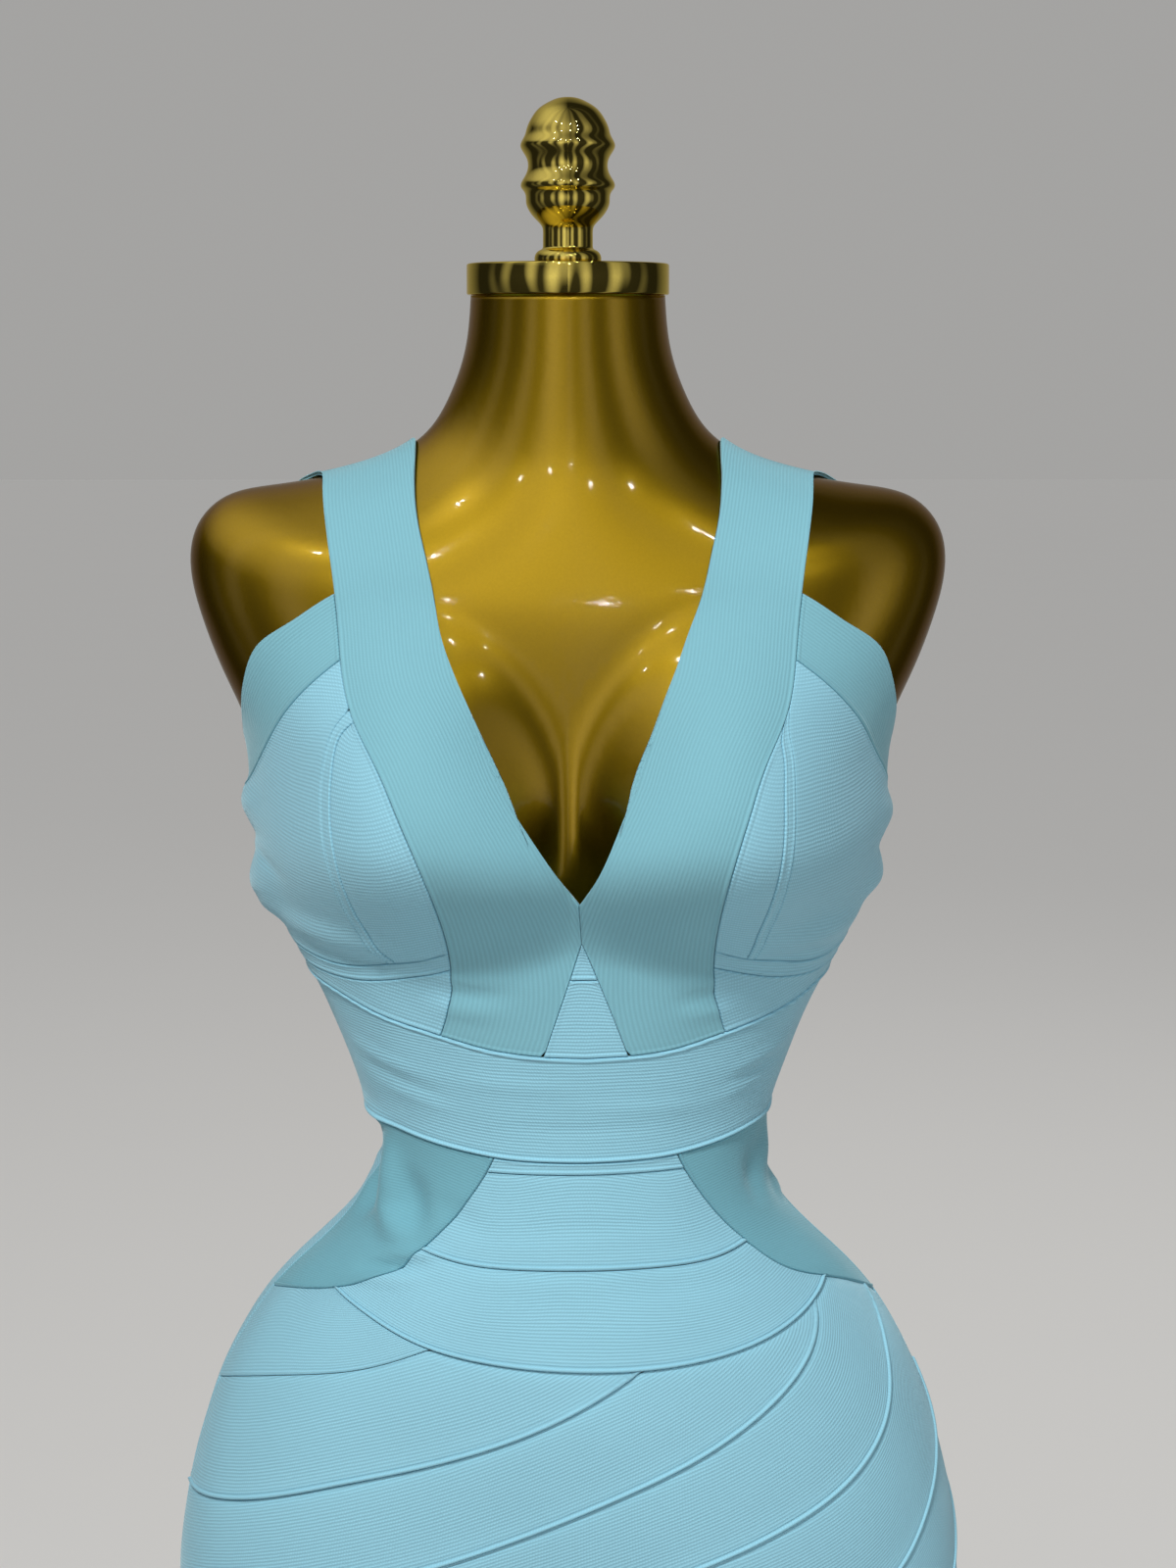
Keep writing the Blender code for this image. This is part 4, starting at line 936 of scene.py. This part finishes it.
def room_light(tree):
    """How bright the mirrored room is in each direction."""
    split = tree.nodes.new("ShaderNodeSeparateXYZ")
    tree.links.new(tree.nodes.new("ShaderNodeTexCoord").outputs["Generated"], split.inputs[0])
    x, y, z = split.outputs
    front = above_zero(tree, math_node(tree, "MULTIPLY_ADD", y, -0.8, 0.2))
    behind = above_zero(tree, math_node(tree, "MULTIPLY_ADD", y, 1.4, -0.7))
    level = math_node(tree, "MULTIPLY_ADD", math_node(tree, "ABSOLUTE", z), -0.75, 1.0)
    high = above_zero(tree, math_node(tree, "MULTIPLY_ADD", z, 1.5, -0.5))
    aside = above_zero(tree, math_node(tree, "MULTIPLY", x, -1.0))
    panels = tree.nodes.new("ShaderNodeCombineXYZ")
    tree.links.new(math_node(tree, "ARCTAN2", x, y), panels.inputs[0])
    tree.links.new(math_node(tree, "MULTIPLY", z, PANEL_SLANT), panels.inputs[1])
    uneven = tree.nodes.new("ShaderNodeMapRange")
    set_values(uneven, From_Min=PANEL_FROM, From_Max=PANEL_TO, To_Min=PANEL_DARK,
               To_Max=PANEL_LIT)
    tree.links.new(noise_node(tree, panels.outputs[0], PANEL_SCALE, 0.0), uneven.inputs["Value"])
    wall = math_node(tree, "MULTIPLY", math_node(tree, "MULTIPLY", front, level),
                     uneven.outputs[0])
    total = math_node(tree, "MULTIPLY_ADD", behind, ROOM_BEHIND, ROOM_DIM)
    total = math_node(tree, "MULTIPLY_ADD", wall, ROOM_BRIGHT, total)
    return math_node(tree, "MULTIPLY_ADD", math_node(tree, "MULTIPLY", aside, high), ROOM_SIDE,
                     total)


def background(tree, colour):
    node = tree.nodes.new("ShaderNodeBackground")
    node.inputs[0].default_value = colour
    return node


def chosen(tree, choice, otherwise, when):
    """One background for the rays that the choice picks, and another for the rest."""
    node = tree.nodes.new("ShaderNodeMixShader")
    tree.links.new(choice, node.inputs[0])
    tree.links.new(otherwise.outputs[0], node.inputs[1])
    tree.links.new(when.outputs[0], node.inputs[2])
    return node


def make_world():
    world = bpy.data.worlds.new("studio")
    world.use_nodes = True
    tree = world.node_tree
    tree.nodes.clear()
    out = tree.nodes.new("ShaderNodeOutputWorld")
    room = background(tree, ROOM_COLOUR)
    tree.links.new(room_light(tree), room.inputs[1])
    path = tree.nodes.new("ShaderNodeLightPath")
    plain = chosen(tree, path.outputs["Is Camera Ray"], background(tree, FLAT_LIGHT),
                   background(tree, SEEN_COLOUR))
    mirrored_room = chosen(tree, path.outputs["Is Glossy Ray"], plain, room)
    tree.links.new(mirrored_room.outputs[0], out.inputs[0])
    bpy.context.scene.world = world


FLOOR_COLOUR = (0.42, 0.415, 0.405)
FLOOR_ROUGH = 0.7
FLOOR_GLOW, FLOOR_GLOW_COLOUR = 0.305, (1.0, 0.99, 0.97, 1)
FLOOR_HALF = 30.0
# Soft lights that the gold doesn't mirror: name, place, size, power and colour
LIGHTS = (
    ("key", (-1.1, -3.3, 4.9), 0.9, 212, (1.0, 0.985, 0.96)),
    ("fill", (2.4, -3.2, 3.4), 0.9, 34, (0.97, 0.99, 1.0)),
    ("rear", (1.3, 3.4, 3.6), 1.4, 42, (1.0, 0.99, 0.97)),
)
LIGHTS_AIM = (0, 0, 1.0)
SPOT_HEIGHT, SPOT_SIZE, SPOT_POWER = 2.75, 0.032, 0.6
SPOT_AIM = (0, 0, 1.2)


def make_stage():
    pale = plain_material("pale_floor", FLOOR_COLOUR, FLOOR_ROUGH)
    set_values(pale.node_tree.nodes["Principled BSDF"], Emission_Color=FLOOR_GLOW_COLOUR,
               Emission_Strength=FLOOR_GLOW)
    corners = [(x * FLOOR_HALF, y * FLOOR_HALF, 0) for x, y in ((-1, -1), (1, -1), (1, 1), (-1, 1))]
    floor = add_object("floor", corners, [(0, 1, 2, 3)], pale)
    floor.visible_glossy = False
    make_world()
    bpy.context.scene.view_settings.view_transform = "Standard"
    for name, place, size, power, colour in LIGHTS:
        area_light(name, place, LIGHTS_AIM, size, power, colour, False)
    for number, (x, y) in enumerate(CEILING_SPOTS, start=1):
        area_light(f"spot_{number}", (x, y, SPOT_HEIGHT), SPOT_AIM, SPOT_SIZE, SPOT_POWER)


CAMERA_PLACE = (0.0, -1.427, 1.405)
CAMERA_PITCH = 8.7
CAMERA_YAW = 0.40
CAMERA_LENS = 65.0


def make_camera():
    camera = bpy.data.cameras.new("camera")
    camera.lens = CAMERA_LENS
    camera.sensor_width = 36.0
    camera.clip_end = 100.0
    holder = bpy.data.objects.new("camera", camera)
    holder.location = CAMERA_PLACE
    holder.rotation_euler = (math.radians(90 - CAMERA_PITCH), 0, math.radians(-CAMERA_YAW))
    bpy.context.scene.collection.objects.link(holder)
    bpy.context.scene.camera = holder


# ---- cuts of the cloth

SEWN_TO = {"cup_tape_left": "cup_outer_left", "cup_tape_right": "cup_outer_right",
           "waist_strip": "waist_band_front", "gusset_top": "gusset_bottom"}


def declare_sheets():
    """Goes through the pieces of cloth, passing over the strips too narrow for a sheet of their
    own, which are sewn to others; nothing more is done with any piece.
    """
    for piece, length, width, area in SHEETS:
        name = piece.name.removeprefix("dress_")
        if name in SEWN_TO:
            continue


def main():
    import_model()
    bandage = knit_material("bandage_knit", AQUA)
    mesh_knit = knit_material("cup_knit", AQUA, rib=2.0, stitch=1.6, depth=0.2, purl=0.6)
    # The satin knit's colour holds painted shade as well as the bands' deeper aqua.
    satin_knit_and_painted_shade = knit_material("satin_knit_and_painted_shade", AQUA_SATIN_AND_PAINTED_SHADE, rib=1.75, stitch=1.5, depth=0.16, purl=0.2,
                               shade=0.80)
    # The hip knit's colour holds painted shade as well as the panels' deeper aqua.
    smooth_knit_and_painted_shade = knit_material("hip_knit_and_painted_shade", AQUA_DEEP_AND_PAINTED_SHADE, rib=1.5, stitch=1.4, depth=0.1, purl=0.3,
                                shade=0.82)
    gold = gold_material("gold_paint", (0.56, 0.355, 0.014), rough=0.32, coat=0.5, peel=0.10,
                         edge=(0.4, 0.26, 0.05))
    polished = gold_material("polished_gold", (0.78, 0.62, 0.14), rough=0.05, coat=0.0, peel=0.0)
    satin = gold_material("stand_gold", (0.55, 0.40, 0.14), rough=0.35, coat=0.3, peel=0.05)
    make_camera()
    make_stage()
    make_form(gold)
    make_stand(polished, satin)
    make_bodice(bandage, mesh_knit, satin_knit_and_painted_shade)
    make_waist(bandage, smooth_knit_and_painted_shade)
    make_skirt(bandage)
    declare_sheets()


main()
